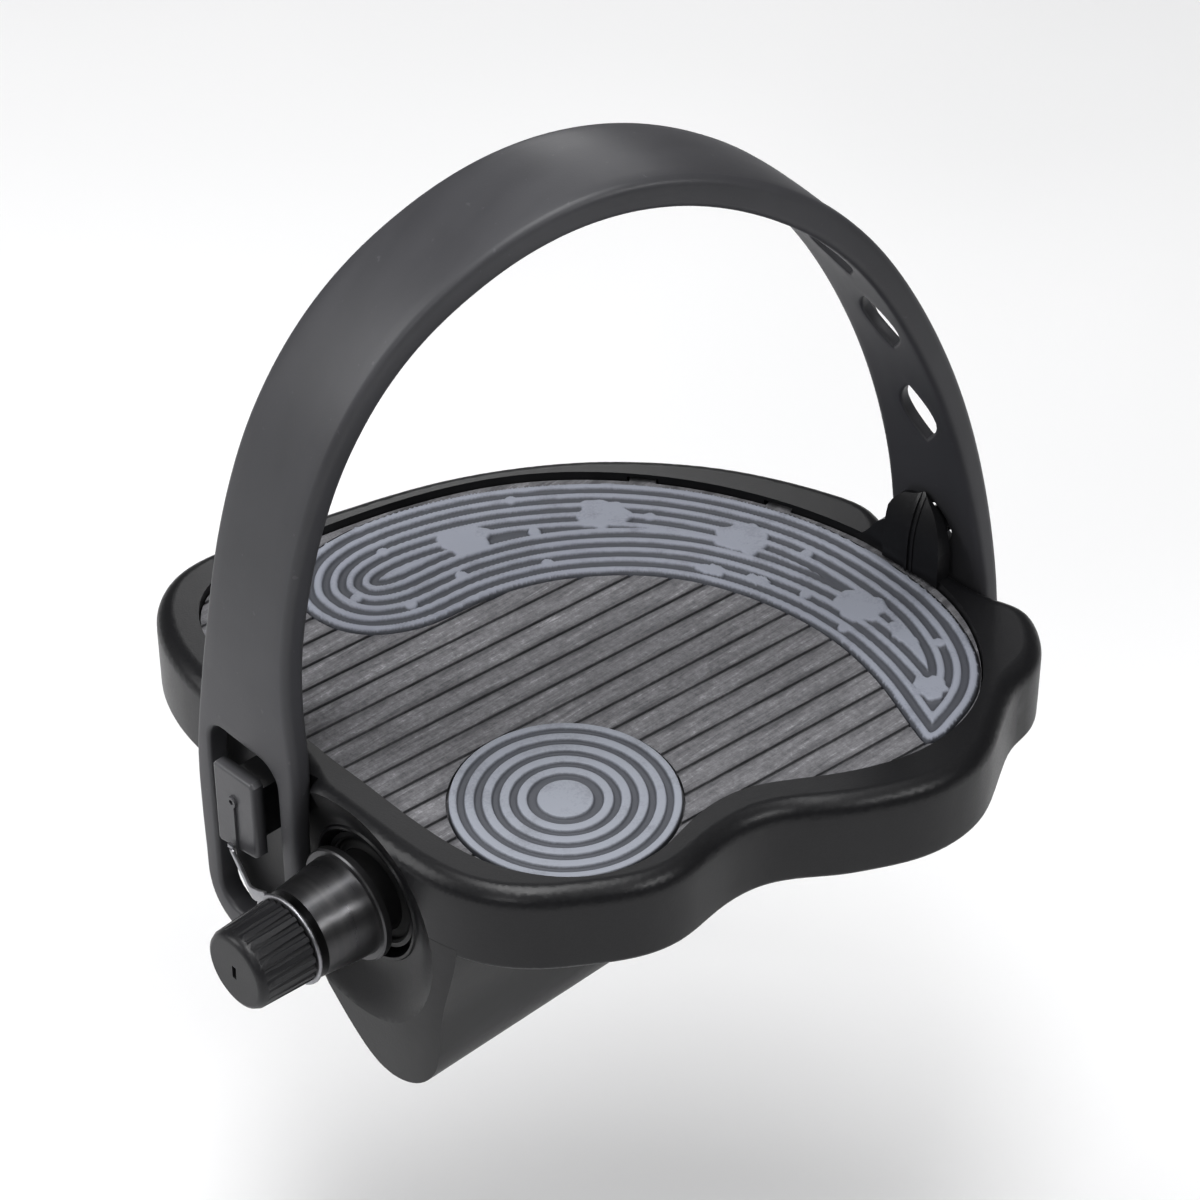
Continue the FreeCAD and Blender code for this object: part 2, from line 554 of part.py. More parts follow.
# Middle line of the strap's outer face (x, z) with its width; the heel side
# of the crank leg is drawn in beside the spindle.
STRAP = [
    (9.0, -31.0, 14.0), (9.0, -28.6, 21.0), (9.0, -24.5, 26.5), (9.0, -16.0, 30.0), (9.0, -10.0, 30.6), (9.0, -4.0, 31.0), (9.0, 2.0, 31.0),
    (9.0, 8.0, 30.4), (9.0, 19.0, 27.6), (9.2, 30.0, 24.4), (10.2, 42.0, 22.4), (12.0, 54.0, 22.0),
    (14.7, 66.0, 22.0), (18.2, 77.0, 22.0), (22.8, 87.0, 22.0), (28.5, 96.0, 22.0), (36.0, 104.4, 22.0),
    (44.3, 110.9, 22.0), (54.0, 116.2, 22.0), (64.3, 119.3, 22.0), (74.5, 119.9, 22.0), (85.3, 117.9, 22.0),
    (96.2, 113.1, 22.0), (106.2, 106.0, 22.0), (114.6, 97.0, 22.0), (121.3, 86.6, 22.0), (127.2, 74.6, 22.0),
    (132.1, 62.0, 22.0), (136.2, 48.0, 22.0), (139.3, 33.0, 22.4), (141.2, 18.0, 23.4), (142.0, 4.0, 24.0),
    (142.0, -5.0, 21.0), (142.0, -9.0, 14.0),
]


STRAP = [(x, z + LIFT, w) for x, z, w in STRAP]


def heel_half(x, z, w):
    if x < 9.1 and -13.0 < z < 20.0:
        return min(w / 2, 12.0 + 0.1 * max(abs(z) - 8.0, 0.0))
    return w / 2


def strap_line(x):
    return 24.0 - (x - 9.0) * 44.0 / 132.0


def strap_wires():
    te, tt = dim("strap_thick_end"), dim("strap_thick_top")
    wires = []
    n = len(STRAP)
    for i, (x, z, w) in enumerate(STRAP):
        a, b = STRAP[max(i - 1, 0)], STRAP[min(i + 1, n - 1)]
        dx, dz = b[0] - a[0], b[1] - a[1]
        k = math.hypot(dx, dz)
        inn = V(dz / k, 0, -dx / k)
        f = min(max((z - 10.0) / 100.0, 0.0), 1.0)
        t = te + (tt - te) * f
        beta = math.radians(7.0 * f)
        W = V(math.sin(beta), math.cos(beta), 0)
        c = V(x, strap_line(x), z)
        hh = heel_half(x, z, w)
        q = [c - W * hh, c + W * (w / 2), c + W * (w / 2) + inn * t, c - W * hh + inn * t]
        wires.append(Part.makePolygon(q + [q[0]]))
    return wires


solid = Part.makeLoft(strap_wires(), True, False)

# Window at the crank end, and pointed oval holes along the outer leg.


def rounded_prism_x(y0, y1, za, zb, r, xa, xb):
    pts = []
    for cy, cz, a0 in ((y1 - r, zb - r, 0), (y0 + r, zb - r, 90), (y0 + r, za + r, 180), (y1 - r, za + r, 270)):
        for k in range(5):
            a = math.radians(a0 + 22.5 * k)
            pts.append(V(xa, cy + r * math.cos(a), cz + r * math.sin(a)))
    w = Part.makePolygon(pts + [pts[0]])
    return Part.Face(w).extrude(V(xb - xa, 0, 0))


solid = solid.cut(rounded_prism_x(15.8, 34.6, -24.6 + LIFT, 17.6 + LIFT, 4.5, 4.0, 20.0))


def lens_prism(c, along, across, out, half_len, half_wid, depth):
    pts = []
    for sgn in (1, -1):
        for k in range(12):
            u = -1 + 2 * k / 12.0
            u = u * sgn
            v = sgn * half_wid * (1 - abs(u) ** 1.8)
            pts.append(c + along * (half_len * u) + across * v - out * depth)
    w = Part.makePolygon(pts + [pts[0]])
    return Part.Face(w).extrude(out * (2 * depth))


def channel_wires():
    """Sections of the shallow channel in the outer face of the outer leg."""
    te, tt, web, rim = dim("strap_thick_end"), dim("strap_thick_top"), 2.3, 3.2
    rows = [i for i, q in enumerate(STRAP) if q[0] > 100.0][:-3]
    out = []
    for i in rows:
        x, z, w = STRAP[i]
        a, b = STRAP[i - 1], STRAP[i + 1]
        dx, dz = b[0] - a[0], b[1] - a[1]
        k = math.hypot(dx, dz)
        inn = V(dz / k, 0, -dx / k)
        f = min(max((z - 10.0) / 100.0, 0.0), 1.0)
        t = te + (tt - te) * f
        beta = math.radians(7.0 * f)
        W = V(math.sin(beta), math.cos(beta), 0)
        c = V(x, strap_line(x), z)
        d = t - web if rows[0] < i < rows[-1] else -0.3
        h = w / 2 - rim
        q = [c - W * h + inn * d, c + W * h + inn * d, c + W * (h + 0.6) - inn * 1.0, c - W * (h + 0.6) - inn * 1.0]
        out.append(Part.makePolygon(q + [q[0]]))
    return out


solid = solid.cut(Part.makeLoft(channel_wires(), True, False))
HOLES = [(139.4, 25.8 + LIFT, -0.6, 5.2, 3.6), (131.2, 53.1 + LIFT, -1.6, 7.0, 4.3), (123.3, 75.7 + LIFT, -1.8, 7.0, 4.3),
         (112.9, 93.5 + LIFT, -2.4, 7.0, 4.3)]
for hx, hz, hy, hl, hv in HOLES:
    i = min(range(len(STRAP)), key=lambda k: math.hypot(STRAP[k][0] - hx, STRAP[k][1] - hz))
    a, b = STRAP[i - 1], STRAP[i + 1]
    dx, dz = b[0] - a[0], b[1] - a[1]
    k = math.hypot(dx, dz)
    along = V(dx / k, 0, dz / k)
    out = V(-dz / k, 0, dx / k)
    solid = solid.cut(lens_prism(V(hx, strap_line(hx) + hy, hz), along, V(0, 1, 0), out, hl, hv, 10.0))
strap = doc.addObject("Part::Feature", "foot_strap")
strap.Label = "foot_strap"
strap.Shape = solid
strap.Placement = FreeCAD.Placement()

# ------------------------------------------------------------------ spindle

tr, tl = dim("thread_radius"), dim("thread_length")
sr, cr, cl = dim("seat_radius"), dim("collar_radius"), dim("collar_length")
fr, ft, nr = dim("flange_radius"), dim("flange_thick"), dim("neck_radius")
sh, st = dim("shaft_radius"), dim("stub_radius")
bi, ri, bo, ro, gr_ = dim("inner_row_x"), dim("inner_row_r"), dim("outer_row_x"), dim("outer_row_r"), dim("race_radius")
a0 = math.degrees(math.atan2(-0.4, -2.0))
race = arc_pts(bi, ri, gr_, a0, -90.0, 8)
prof = [(-tl, 0.0), (-tl, tr - 1.2), (-tl + 1.2, tr), (0.0, tr), (0.0, sr), (cl, cr), (cl, fr - 0.3), (cl + 0.3, fr),
        (cl + ft, fr), (cl + ft, nr), (18.4, nr), (19.3, ri - 0.4)] + race + \
       [(60.0, sh), (74.0, st + 0.6), (75.0, st), (92.4, st), (93.0, st - 0.6), (93.0, 0.0)]
nb = len(prof)
spindle = turned("spindle", prof, [(3, "y", "dims.thread_radius"), (4, "y", "dims.seat_radius"),
                                   (5, "y", "dims.collar_radius"), (5, "x", "dims.collar_length"),
                                   (8, "y", "dims.flange_radius"), (9, "y", "dims.neck_radius")])
# Hexagon socket in the threaded end.
s = sketch_on(spindle, "socket", "YZ_Plane", -dim("thread_length"))
hr = dim("socket_flats") / math.sqrt(3.0)
poly(s, [(hr * math.cos(math.radians(60 * k)), hr * math.sin(math.radians(60 * k))) for k in range(6)])
pocket(spindle, "socket_cut", s, 7.0, None, True)
spindle.Tip = spindle.Group[-1]

# Thread cap: fluted sleeve with a closed nose and a small vent.
cL, cb, cn, cbore = dim("cap_length"), dim("cap_base"), dim("cap_nose"), dim("cap_bore")
xb = -2.6
cap = turned("thread_cap", [(xb, cbore), (xb, cb), (xb - cL + 1.3, cn), (xb - cL + 0.4, cn - 0.45), (xb - cL, cn - 1.3),
                            (xb - cL, 0.0), (xb - cL + 2.0, 0.0), (xb - cL + 2.0, cbore)])
s = sketch_on(cap, "flutes", "YZ_Plane", xb)
for k in range(24):
    a = 2 * math.pi * k / 24
    circle(s, (cb + 0.1) * math.cos(a), (cb + 0.1) * math.sin(a), 0.62)
pocket(cap, "flutes_cut", s, cL - 1.6)
s = sketch_on(cap, "vent", "YZ_Plane", xb - cL)
poly(s, [(-0.5, -1.3), (0.5, -1.3), (0.5, 1.3), (-0.5, 1.3)])
pocket(cap, "vent_cut", s, 2.2, None, True)
cap.Tip = cap.Group[-1]

# Spindle tag: a thin ring on the thread with a strip to the strap hook.
ti, to, tt = dim("tag_inner"), dim("tag_outer"), dim("tag_thick")
rx = -2.4
ring = Part.makeCylinder(to, tt, V(rx, 0, 0), V(1, 0, 0)).cut(
    Part.makeCylinder(ti, tt + 2, V(rx - 1.0, 0, 0), V(1, 0, 0)))


def strip(points, half, up):
    """A bent flat strip along points, half its width each way along up."""
    out = None
    for a, b in zip(points[:-1], points[1:]):
        d = (b - a)
        d.normalize()
        n = d.cross(up)
        n.normalize()
        a, b = a - d * 0.3, b + d * 0.3
        q = [a - up * half, b - up * half, b + up * half, a + up * half]
        w = Part.makePolygon(q + [q[0]])
        blk = Part.Face(w).extrude(n * tt)
        out = blk if out is None else out.fuse(blk)
    return out


neck = strip([V(rx, 5.9, 5.9), V(rx, 9.4, 4.2), V(3.2, 21.0, 0.2), V(4.6, 24.3, -0.7)], 1.3, V(0, 0.33, 0.94).normalize())
tongue = Part.makeBox(tt, 1.5, 3.6, V(4.4, 23.55, -1.9))
tag_shape = ring.fuse([neck, tongue]).removeSplitter()
tag_shape = tag_shape.cut(Part.makeCylinder(ti, 6.0, V(-3.0, 0, 0), V(1, 0, 0)))
tag = doc.addObject("Part::Feature", "spindle_tag")
tag.Label = "spindle_tag"
tag.Shape = tag_shape
tag.Placement = FreeCAD.Placement()

# ----------------------------------------------------------------- bearings

turned("dust_seal", [(16.4, nr + 0.06), (16.4, C - 0.03), (18.0, C - 0.03), (18.0, nr + 0.06)],
       [(1, "y", "dims.cup_bore - 0.03")])
cup_arc = arc_pts(bi, ri, gr_, 90.0, math.degrees(math.atan2(0.4, 2.0)), 8)
turned("inner_bearing_cup", [(18.15, C - 0.03), (25.5, C - 0.03), (25.5, 7.2)] + cup_arc[::-1] + [(18.15, ri + gr_)],
       [(0, "y", "dims.cup_bore - 0.03")])
cup_arc = arc_pts(bo, ro, gr_, 90.0, 180.0 - math.degrees(math.atan2(0.4, 2.0)), 8)
turned("outer_bearing_cup", [(74.5, C - 0.03), (81.9, C - 0.03), (81.9, ro + gr_)] + cup_arc + [(74.5, 6.8)],
       [(0, "y", "dims.cup_bore - 0.03")])
cone_arc = arc_pts(bo, ro, gr_, -90.0, math.degrees(math.atan2(-0.4, 2.0)), 8)
turned("outer_cone", [(77.2, st + 0.05), (77.2, ro - gr_)] + cone_arc + [(81.2, 7.0), (84.5, 7.0), (84.5, st + 0.05)],
       [(0, "y", "dims.stub_radius + 0.05")])


def ball_row(label, count, x, rad, radius, expr, names):
    out = []
    for k in range(count):
        a = 2 * math.pi * k / count
        o = doc.addObject("Part::Sphere", "%s_%d" % (names, k))
        o.Radius = radius
        o.setExpression("Radius", expr)
        o.Placement = FreeCAD.Placement(V(x, rad * math.cos(a), rad * math.sin(a)), FreeCAD.Rotation())
        out.append(o)
    c = doc.addObject("Part::Compound", label)
    c.Label = label
    c.Links = out
    doc.recompute()
    return c


br = dim("ball_radius")
ball_row("inner_bearing_balls", 9, bi, ri, br, "dims.ball_radius", "inner_ball")
ball_row("outer_bearing_balls", 9, bo, ro, br, "dims.ball_radius", "outer_ball")


def retainer(label, x, rad, xa, xb, ra, rb, names):
    """A crown ring beside the balls with a round pocket for each ball."""
    hole = ball_row(names + "_pockets", 9, x, rad, br + 0.12, "dims.ball_radius + 0.12", names + "_pocket")
    o = doc.addObject("Part::Cylinder", names + "_outside")
    o.Radius, o.Height = rb, xb - xa
    i = doc.addObject("Part::Cylinder", names + "_inside")
    i.Radius, i.Height = ra, xb - xa + 2.0
    turn = FreeCAD.Rotation(V(0, 1, 0), 90)
    o.Placement = FreeCAD.Placement(V(xa, 0, 0), turn)
    i.Placement = FreeCAD.Placement(V(xa - 1.0, 0, 0), turn)
    c = doc.addObject("Part::Cut", names + "_ring")
    c.Base, c.Tool = o, i
    d = doc.addObject("Part::Cut", label)
    d.Label = label
    d.Base, d.Tool = c, hole
    doc.recompute()
    return d


retainer("inner_ball_retainer", bi, ri, 21.9, 24.6, 5.75, 6.85, "inner_retainer")
retainer("outer_ball_retainer", bo, ro, 75.3, 78.1, 5.35, 6.45, "outer_retainer")

# Lock washer, lock nut and dust plug at the outer end.
wt = dim("washer_thick")
turned("lock_washer", [(84.6, st + 0.05), (84.6, 7.4), (84.6 + wt, 7.4), (84.6 + wt, st + 0.05)],
       [(0, "y", "dims.stub_radius + 0.05")])
nut = body_of("lock_nut")
s = sketch_on(nut, "nut_hex", "YZ_Plane", 85.9)
hexr = dim("nut_flats") / math.sqrt(3.0)
poly(s, [(hexr * math.cos(math.radians(60 * k)), hexr * math.sin(math.radians(60 * k))) for k in range(6)])
pad(nut, "nut_block", s, dim("nut_thick"), "dims.nut_thick")
s = sketch_on(nut, "nut_hole", "YZ_Plane", 85.9)
circle(s, 0, 0, st + 0.05, "dims.stub_radius + 0.05")
pocket(nut, "nut_hole_cut", s, 6.0, None, True)
nut.Tip = nut.Group[-1]
turned("end_cap", [(94.2, 0.0), (94.2, 8.6), (93.0, 8.6), (93.0, C - 0.03), (97.9, C - 0.03), (97.9, 0.0)],
       [(3, "y", "dims.cup_bore - 0.03")])

# -------------------------------------------------------------- counterweight

weight = body_of("counterweight")
s = sketch_on(weight, "weight_section", "YZ_Plane", 24.0)
W_IN = [(y, z + LIFT) for y, z in [(-18.6, -16.4), (-18.0, -23.4), (-16.6, -28.2), (-13.9, -31.4), (-10.5, -32.8), (-7.4, -32.8),
        (-3.8, -30.6), (1.6, -25.6), (8.0, -19.2), (10.4, -16.4)]]
g = open_spline(s, W_IN)
h = s.addGeometry(Part.LineSegment(V(W_IN[-1][0], W_IN[-1][1], 0), V(W_IN[0][0], W_IN[0][1], 0)), False)
s.addConstraint(Sketcher.Constraint("Coincident", g, 2, h, 1))
s.addConstraint(Sketcher.Constraint("Coincident", h, 2, g, 1))
pad(weight, "weight_bar", s, dim("keel_hollow") - 3.0, "dims.keel_hollow - 3")

doc.recompute()

# -------------------------------------------------------------- check, write

NODES = ["pedal_body", "tread_plate", "toe_pad", "ball_pad", "foot_strap", "spindle", "thread_cap", "spindle_tag",
         "dust_seal", "inner_bearing_cup", "inner_bearing_balls", "inner_ball_retainer", "outer_bearing_cup",
         "outer_bearing_balls", "outer_ball_retainer", "outer_cone", "lock_washer", "lock_nut", "end_cap", "counterweight"]

bad = [o.Name for o in doc.Objects if "Invalid" in o.State or "Error" in o.State]
if bad:
    raise ValueError("failed objects: %s" % bad)
shapes = {}
for o in doc.Objects:
    if o.Label in NODES and hasattr(o, "Shape"):
        shapes[o.Label] = o.Shape
for n in NODES:
    sh_ = shapes[n]
    if sh_.isNull() or not sh_.isValid():
        raise ValueError("bad shape: %s" % n)
    bb = sh_.BoundBox
    print("%-22s solids %d volume %9.1f  x %6.1f %6.1f  y %6.1f %6.1f  z %6.1f %6.1f" % (
        n, len(sh_.Solids), sh_.Volume, bb.XMin, bb.XMax, bb.YMin, bb.YMax, bb.ZMin, bb.ZMax))
for n in NODES:
    shapes[n].exportStep("parts/%s.step" % n)
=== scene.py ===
import math

import bmesh
import bpy
import numpy as np
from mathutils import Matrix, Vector, geometry


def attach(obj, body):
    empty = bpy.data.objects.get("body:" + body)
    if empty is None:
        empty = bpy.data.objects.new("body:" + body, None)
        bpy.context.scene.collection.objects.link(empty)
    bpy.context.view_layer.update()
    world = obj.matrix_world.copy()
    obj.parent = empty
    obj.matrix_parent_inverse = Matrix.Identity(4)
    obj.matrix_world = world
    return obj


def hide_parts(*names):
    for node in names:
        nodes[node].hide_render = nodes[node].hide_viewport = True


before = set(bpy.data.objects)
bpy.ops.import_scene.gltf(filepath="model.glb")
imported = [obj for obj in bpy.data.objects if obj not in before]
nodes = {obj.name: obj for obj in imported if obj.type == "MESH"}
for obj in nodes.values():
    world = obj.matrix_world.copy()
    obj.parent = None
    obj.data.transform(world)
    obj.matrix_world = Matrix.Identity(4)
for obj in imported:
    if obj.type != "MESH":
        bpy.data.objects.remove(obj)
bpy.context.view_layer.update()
MM = 0.001
LIFT = 3.9


# ------------------------------------------------------------- node helpers

class Mat:
    """A small builder for a node material around one Principled shader."""

    def __init__(self, name, edge=0.0):
        self.edge = edge
        self.m = bpy.data.materials.new(name)
        self.m.use_nodes = True
        self.nt = self.m.node_tree
        self.b = self.nt.nodes["Principled BSDF"]
        self.tc = self.nt.nodes.new("ShaderNodeTexCoord")

    def put(self, kind, **props):
        n = self.nt.nodes.new(kind)
        for k, v in props.items():
            setattr(n, k, v)
        return n

    def link(self, a, b):
        self.nt.links.new(a, b)

    def const(self, **vals):
        for k, v in vals.items():
            self.b.inputs[k.replace("_", " ")].default_value = v

    def coords(self, scale=(1, 1, 1), rot=(0, 0, 0)):
        mp = self.put("ShaderNodeMapping")
        mp.inputs["Scale"].default_value = scale
        mp.inputs["Rotation"].default_value = rot
        self.link(self.tc.outputs["Object"], mp.inputs["Vector"])
        return mp.outputs["Vector"]

    def noise(self, scale, detail=3.0, rough=0.55, vec=None, dist=0.0):
        n = self.put("ShaderNodeTexNoise")
        n.inputs["Scale"].default_value = scale
        n.inputs["Detail"].default_value = detail
        n.inputs["Roughness"].default_value = rough
        n.inputs["Distortion"].default_value = dist
        self.link(vec if vec is not None else self.tc.outputs["Object"], n.inputs["Vector"])
        return n.outputs["Fac"]

    def ramp(self, fac, stops):
        r = self.put("ShaderNodeValToRGB")
        e = r.color_ramp.elements
        while len(e) < len(stops):
            e.new(0.5)
        for el, (p, c) in zip(e, stops):
            el.position = p
            el.color = (c, c, c, 1) if isinstance(c, (int, float)) else (*c, 1)
        self.link(fac, r.inputs["Fac"])
        return r.outputs["Color"]

    def math(self, op, a, b=None, clamp=False):
        n = self.put("ShaderNodeMath", operation=op, use_clamp=clamp)
        for i, v in enumerate((a, b)):
            if v is None:
                continue
            if isinstance(v, (int, float)):
                n.inputs[i].default_value = v
            else:
                self.link(v, n.inputs[i])
        return n.outputs[0]

    def mix(self, fac, a, b, kind="MIX"):
        n = self.put("ShaderNodeMix", data_type="RGBA", blend_type=kind)
        for sock, v in ((n.inputs[0], fac), (n.inputs[6], a), (n.inputs[7], b)):
            if isinstance(v, (int, float)):
                sock.default_value = v
            elif isinstance(v, tuple):
                sock.default_value = (*v, 1)
            else:
                self.link(v, sock)
        return n.outputs[2]

    def span(self, v, a, b, lo, hi):
        n = self.put("ShaderNodeMapRange")
        for i, x in zip((1, 2, 3, 4), (a, b, lo, hi)):
            n.inputs[i].default_value = x
        self.link(v, n.inputs[0])
        return n.outputs[0]

    def bump(self, *layers):
        """Bump layers, each (height, strength, distance in metres)."""
        prev = None
        if self.edge:
            n = self.put("ShaderNodeBevel", samples=4)
            n.inputs["Radius"].default_value = self.edge
            prev = n.outputs["Normal"]
        for h, s, d in layers:
            n = self.put("ShaderNodeBump")
            n.inputs["Strength"].default_value = s
            n.inputs["Distance"].default_value = d
            self.link(h, n.inputs["Height"])
            if prev is not None:
                self.link(prev, n.inputs["Normal"])
            prev = n.outputs["Normal"]
        self.link(prev, self.b.inputs["Normal"])

    def colour(self, c):
        self.link(c, self.b.inputs["Base Color"])

    def rough(self, r):
        self.link(r, self.b.inputs["Roughness"])


def moulded(name, dark, light, r0, r1, grain=2600.0, depth=0.00005, strength=0.3):
    """Moulded plastic: fine spark-eroded grain, faint flow marks, soft wear."""
    m = Mat(name, 0.0)
    cloud = m.noise(38.0, 4.0)
    fine = m.noise(grain, 2.0, 0.6)
    flow = m.noise(9.0, 3.0, 0.5, m.coords((1.0, 0.4, 2.6)))
    tone = m.math("ADD", m.math("MULTIPLY", cloud, 0.55), m.math("MULTIPLY", fine, 0.45))
    m.colour(m.mix(m.span(tone, 0.35, 0.68, 0.0, 1.0), dark, light))
    m.rough(m.math("ADD", m.span(flow, 0.3, 0.7, r0, r1), m.span(fine, 0.3, 0.7, -0.03, 0.03)))
    m.bump((fine, strength, depth), (m.noise(420.0, 2.0), strength * 0.35, depth * 2.0))
    m.const(Specular_IOR_Level=0.45)
    return m


def body_material():
    """Moulded black, with a painted highlight that makes the plate holding the strap's window paler."""
    m = Mat("moulded_black")
    cloud = m.noise(38.0, 4.0)
    fine = m.noise(2600.0, 2.0, 0.6)
    flow = m.noise(9.0, 3.0, 0.5, m.coords((1.0, 0.4, 2.6)))
    tone = m.math("ADD", m.math("MULTIPLY", cloud, 0.55), m.math("MULTIPLY", fine, 0.45))
    base = m.mix(m.span(tone, 0.35, 0.68, 0.0, 1.0), (0.0075, 0.0075, 0.0087), (0.014, 0.014, 0.0158))
    sep = m.put("ShaderNodeSeparateXYZ")
    m.link(m.tc.outputs["Object"], sep.inputs[0])
    # painted highlight: the hook plate (low X) is painted paler to stand for the light on its glossy face
    plate = m.math("MULTIPLY", m.span(sep.outputs["X"], 0.0070, 0.0082, 1.0, 0.0), m.span(cloud, 0.3, 0.7, 0.55, 1.0))
    m.colour(m.mix(plate, base, (0.095, 0.095, 0.101)))
    m.rough(m.math("ADD", m.span(flow, 0.3, 0.7, 0.30, 0.40), m.span(fine, 0.3, 0.7, -0.03, 0.03)))
    m.bump((fine, 0.3, 0.00005), (m.noise(420.0, 2.0), 0.105, 0.0001))
    m.const(Specular_IOR_Level=0.45)
    return m


body_mat = body_material()
cap_mat = moulded("cap_black", (0.014, 0.014, 0.0155), (0.026, 0.026, 0.029), 0.34, 0.44, 3200.0)
plug_mat = moulded("plug_black", (0.020, 0.020, 0.022), (0.034, 0.034, 0.037), 0.45, 0.55, 3000.0)
cage_mat = moulded("retainer_plastic", (0.42, 0.42, 0.37), (0.55, 0.55, 0.49), 0.42, 0.55, 2200.0)


def strap_material():
    m = Mat("strap_rubber")
    cloud = m.noise(22.0, 4.0)
    fine = m.noise(3000.0, 2.0, 0.6)
    streak = m.noise(55.0, 3.0, 0.5, m.coords((0.35, 1.6, 0.35)))
    specks = m.ramp(m.noise(700.0, 1.0, 0.5), [(0.0, 0.0), (0.74, 0.0), (0.80, 1.0), (1.0, 1.0)])
    base = m.mix(m.span(m.math("ADD", m.math("MULTIPLY", cloud, 0.6), m.math("MULTIPLY", streak, 0.4)), 0.35, 0.65, 0.0, 1.0),
                 (0.046, 0.046, 0.0505), (0.070, 0.070, 0.0765))
    m.colour(m.mix(m.math("MULTIPLY", specks, 0.10), base, (0.30, 0.30, 0.32)))
    m.rough(m.span(streak, 0.3, 0.7, 0.38, 0.48))
    m.bump((fine, 0.25, 0.00005), (m.noise(300.0, 2.0), 0.12, 0.00012))
    m.const(Specular_IOR_Level=0.5)
    return m


strap_mat = strap_material()


def deck_material():
    """Dark grained deck: coarse streaks along the grooves, pebble speckle, and painted shade in and beside the grooves.
    """
    m = Mat("deck_grain")
    a = math.radians(-4.0)
    along = m.coords((16.0, 190.0, 60.0), (0, 0, -a))
    grain = m.noise(3.4, 6.0, 0.66, along, 0.9)
    hair = m.noise(9.0, 3.0, 0.6, m.coords((24.0, 420.0, 90.0), (0, 0, -a)), 0.3)
    pebble = m.noise(900.0, 2.0, 0.6)
    fine = m.noise(2400.0, 2.0, 0.7)
    wide = m.noise(26.0, 3.0)
    tone = m.math("ADD", m.math("MULTIPLY", grain, 0.42), m.math("ADD", m.math("MULTIPLY", hair, 0.20),
                  m.math("ADD", m.math("MULTIPLY", pebble, 0.22), m.math("MULTIPLY", fine, 0.16))))
    base = m.ramp(m.span(tone, 0.36, 0.64, 0.0, 1.0), [(0.0, (0.0800, 0.0800, 0.0856)), (0.40, (0.1684, 0.1670, 0.1766)),
                                                     (0.70, (0.2429, 0.2415, 0.2539)), (1.0, (0.4278, 0.4264, 0.4444))])
    base = m.mix(m.span(wide, 0.3, 0.7, 0.0, 0.30), base, (0.125, 0.125, 0.132))
    sep = m.put("ShaderNodeSeparateXYZ")
    m.link(m.tc.outputs["Object"], sep.inputs[0])
    low = m.span(sep.outputs["Z"], 0.01862, 0.01912, 1.0, 0.0)
    # painted shade: a soft dark band beside each groove
    turn = m.put("ShaderNodeVectorRotate", rotation_type="Z_AXIS")
    turn.inputs["Center"].default_value = (0.075, 0, 0)
    turn.inputs["Angle"].default_value = math.radians(4.0)
    m.link(m.tc.outputs["Object"], turn.inputs["Vector"])
    sp = m.put("ShaderNodeSeparateXYZ")
    m.link(turn.outputs["Vector"], sp.inputs[0])
    v = m.math("ADD", sp.outputs["Y"], m.span(m.noise(110.0, 3.0, 0.6), 0.3, 0.7, -0.0007, 0.0007))
    ph = m.math("DIVIDE", m.math("SUBTRACT", v, 0.0012), 0.0053)
    off = m.math("ABSOLUTE", m.math("SUBTRACT", m.math("FRACT", m.math("ADD", ph, 100.5)), 0.5))
    groove_shade_band = m.math("MULTIPLY", m.span(off, 0.08, 0.26, 1.0, 0.0), m.span(m.noise(70.0, 3.0), 0.35, 0.65, 0.30, 0.62))
    base = m.mix(groove_shade_band, base, (0.060, 0.060, 0.065))
    # painted shade: the groove floors below the deck top (low) are mixed towards dark grey, broken up by noise
    groove_shade_noise = m.span(m.noise(220.0, 3.0, 0.6), 0.35, 0.65, 0.25, 0.65)
    m.colour(m.mix(m.math("MULTIPLY", low, groove_shade_noise), base, (0.040, 0.040, 0.043)))
    m.rough(m.span(grain, 0.3, 0.7, 0.60, 0.78))
    m.bump((grain, 0.50, 0.00020), (pebble, 0.40, 0.00014), (fine, 0.25, 0.00006))
    m.const(Specular_IOR_Level=0.35)
    return m


deck_mat = deck_material()


def pad_material(name, low_z, high_z, dark, mid, light):
    """Ridged rubber coloured by height: paler ridge tops, partly wear and partly painted highlight; darker grooves,
    painted shade.
    """
    m = Mat(name)
    sep = m.put("ShaderNodeSeparateXYZ")
    m.link(m.tc.outputs["Object"], sep.inputs[0])
    h = m.span(sep.outputs["Z"], low_z, high_z, 0.0, 1.0)
    wear = m.noise(140.0, 4.0, 0.6)
    fine = m.noise(2100.0, 2.0, 0.65)
    hh = m.math("ADD", h, m.math("ADD", m.span(wear, 0.3, 0.7, -0.16, 0.16), m.span(fine, 0.3, 0.7, -0.07, 0.07)))
    # colour by height: grooves darker as painted shade, ridge tops paler from wear and painted highlight
    m.colour(m.ramp(hh, [(0.0, dark), (0.42, dark), (0.72, mid), (0.98, light)]))
    m.rough(m.span(wear, 0.3, 0.7, 0.52, 0.68))
    m.bump((fine, 0.25, 0.00005), (wear, 0.10, 0.00015))
    m.const(Specular_IOR_Level=0.4)
    return m


TOP_Z = (LIFT + 15.98) * MM
toe_mat = pad_material("toe_rubber", TOP_Z - 0.0008, TOP_Z - 0.00002, (0.088, 0.092, 0.106), (0.192, 0.201, 0.232), (0.285, 0.299, 0.343))
ball_mat = pad_material("ball_rubber", TOP_Z - 0.0008, TOP_Z - 0.00002, (0.105, 0.110, 0.125), (0.205, 0.214, 0.240), (0.300, 0.315, 0.355))


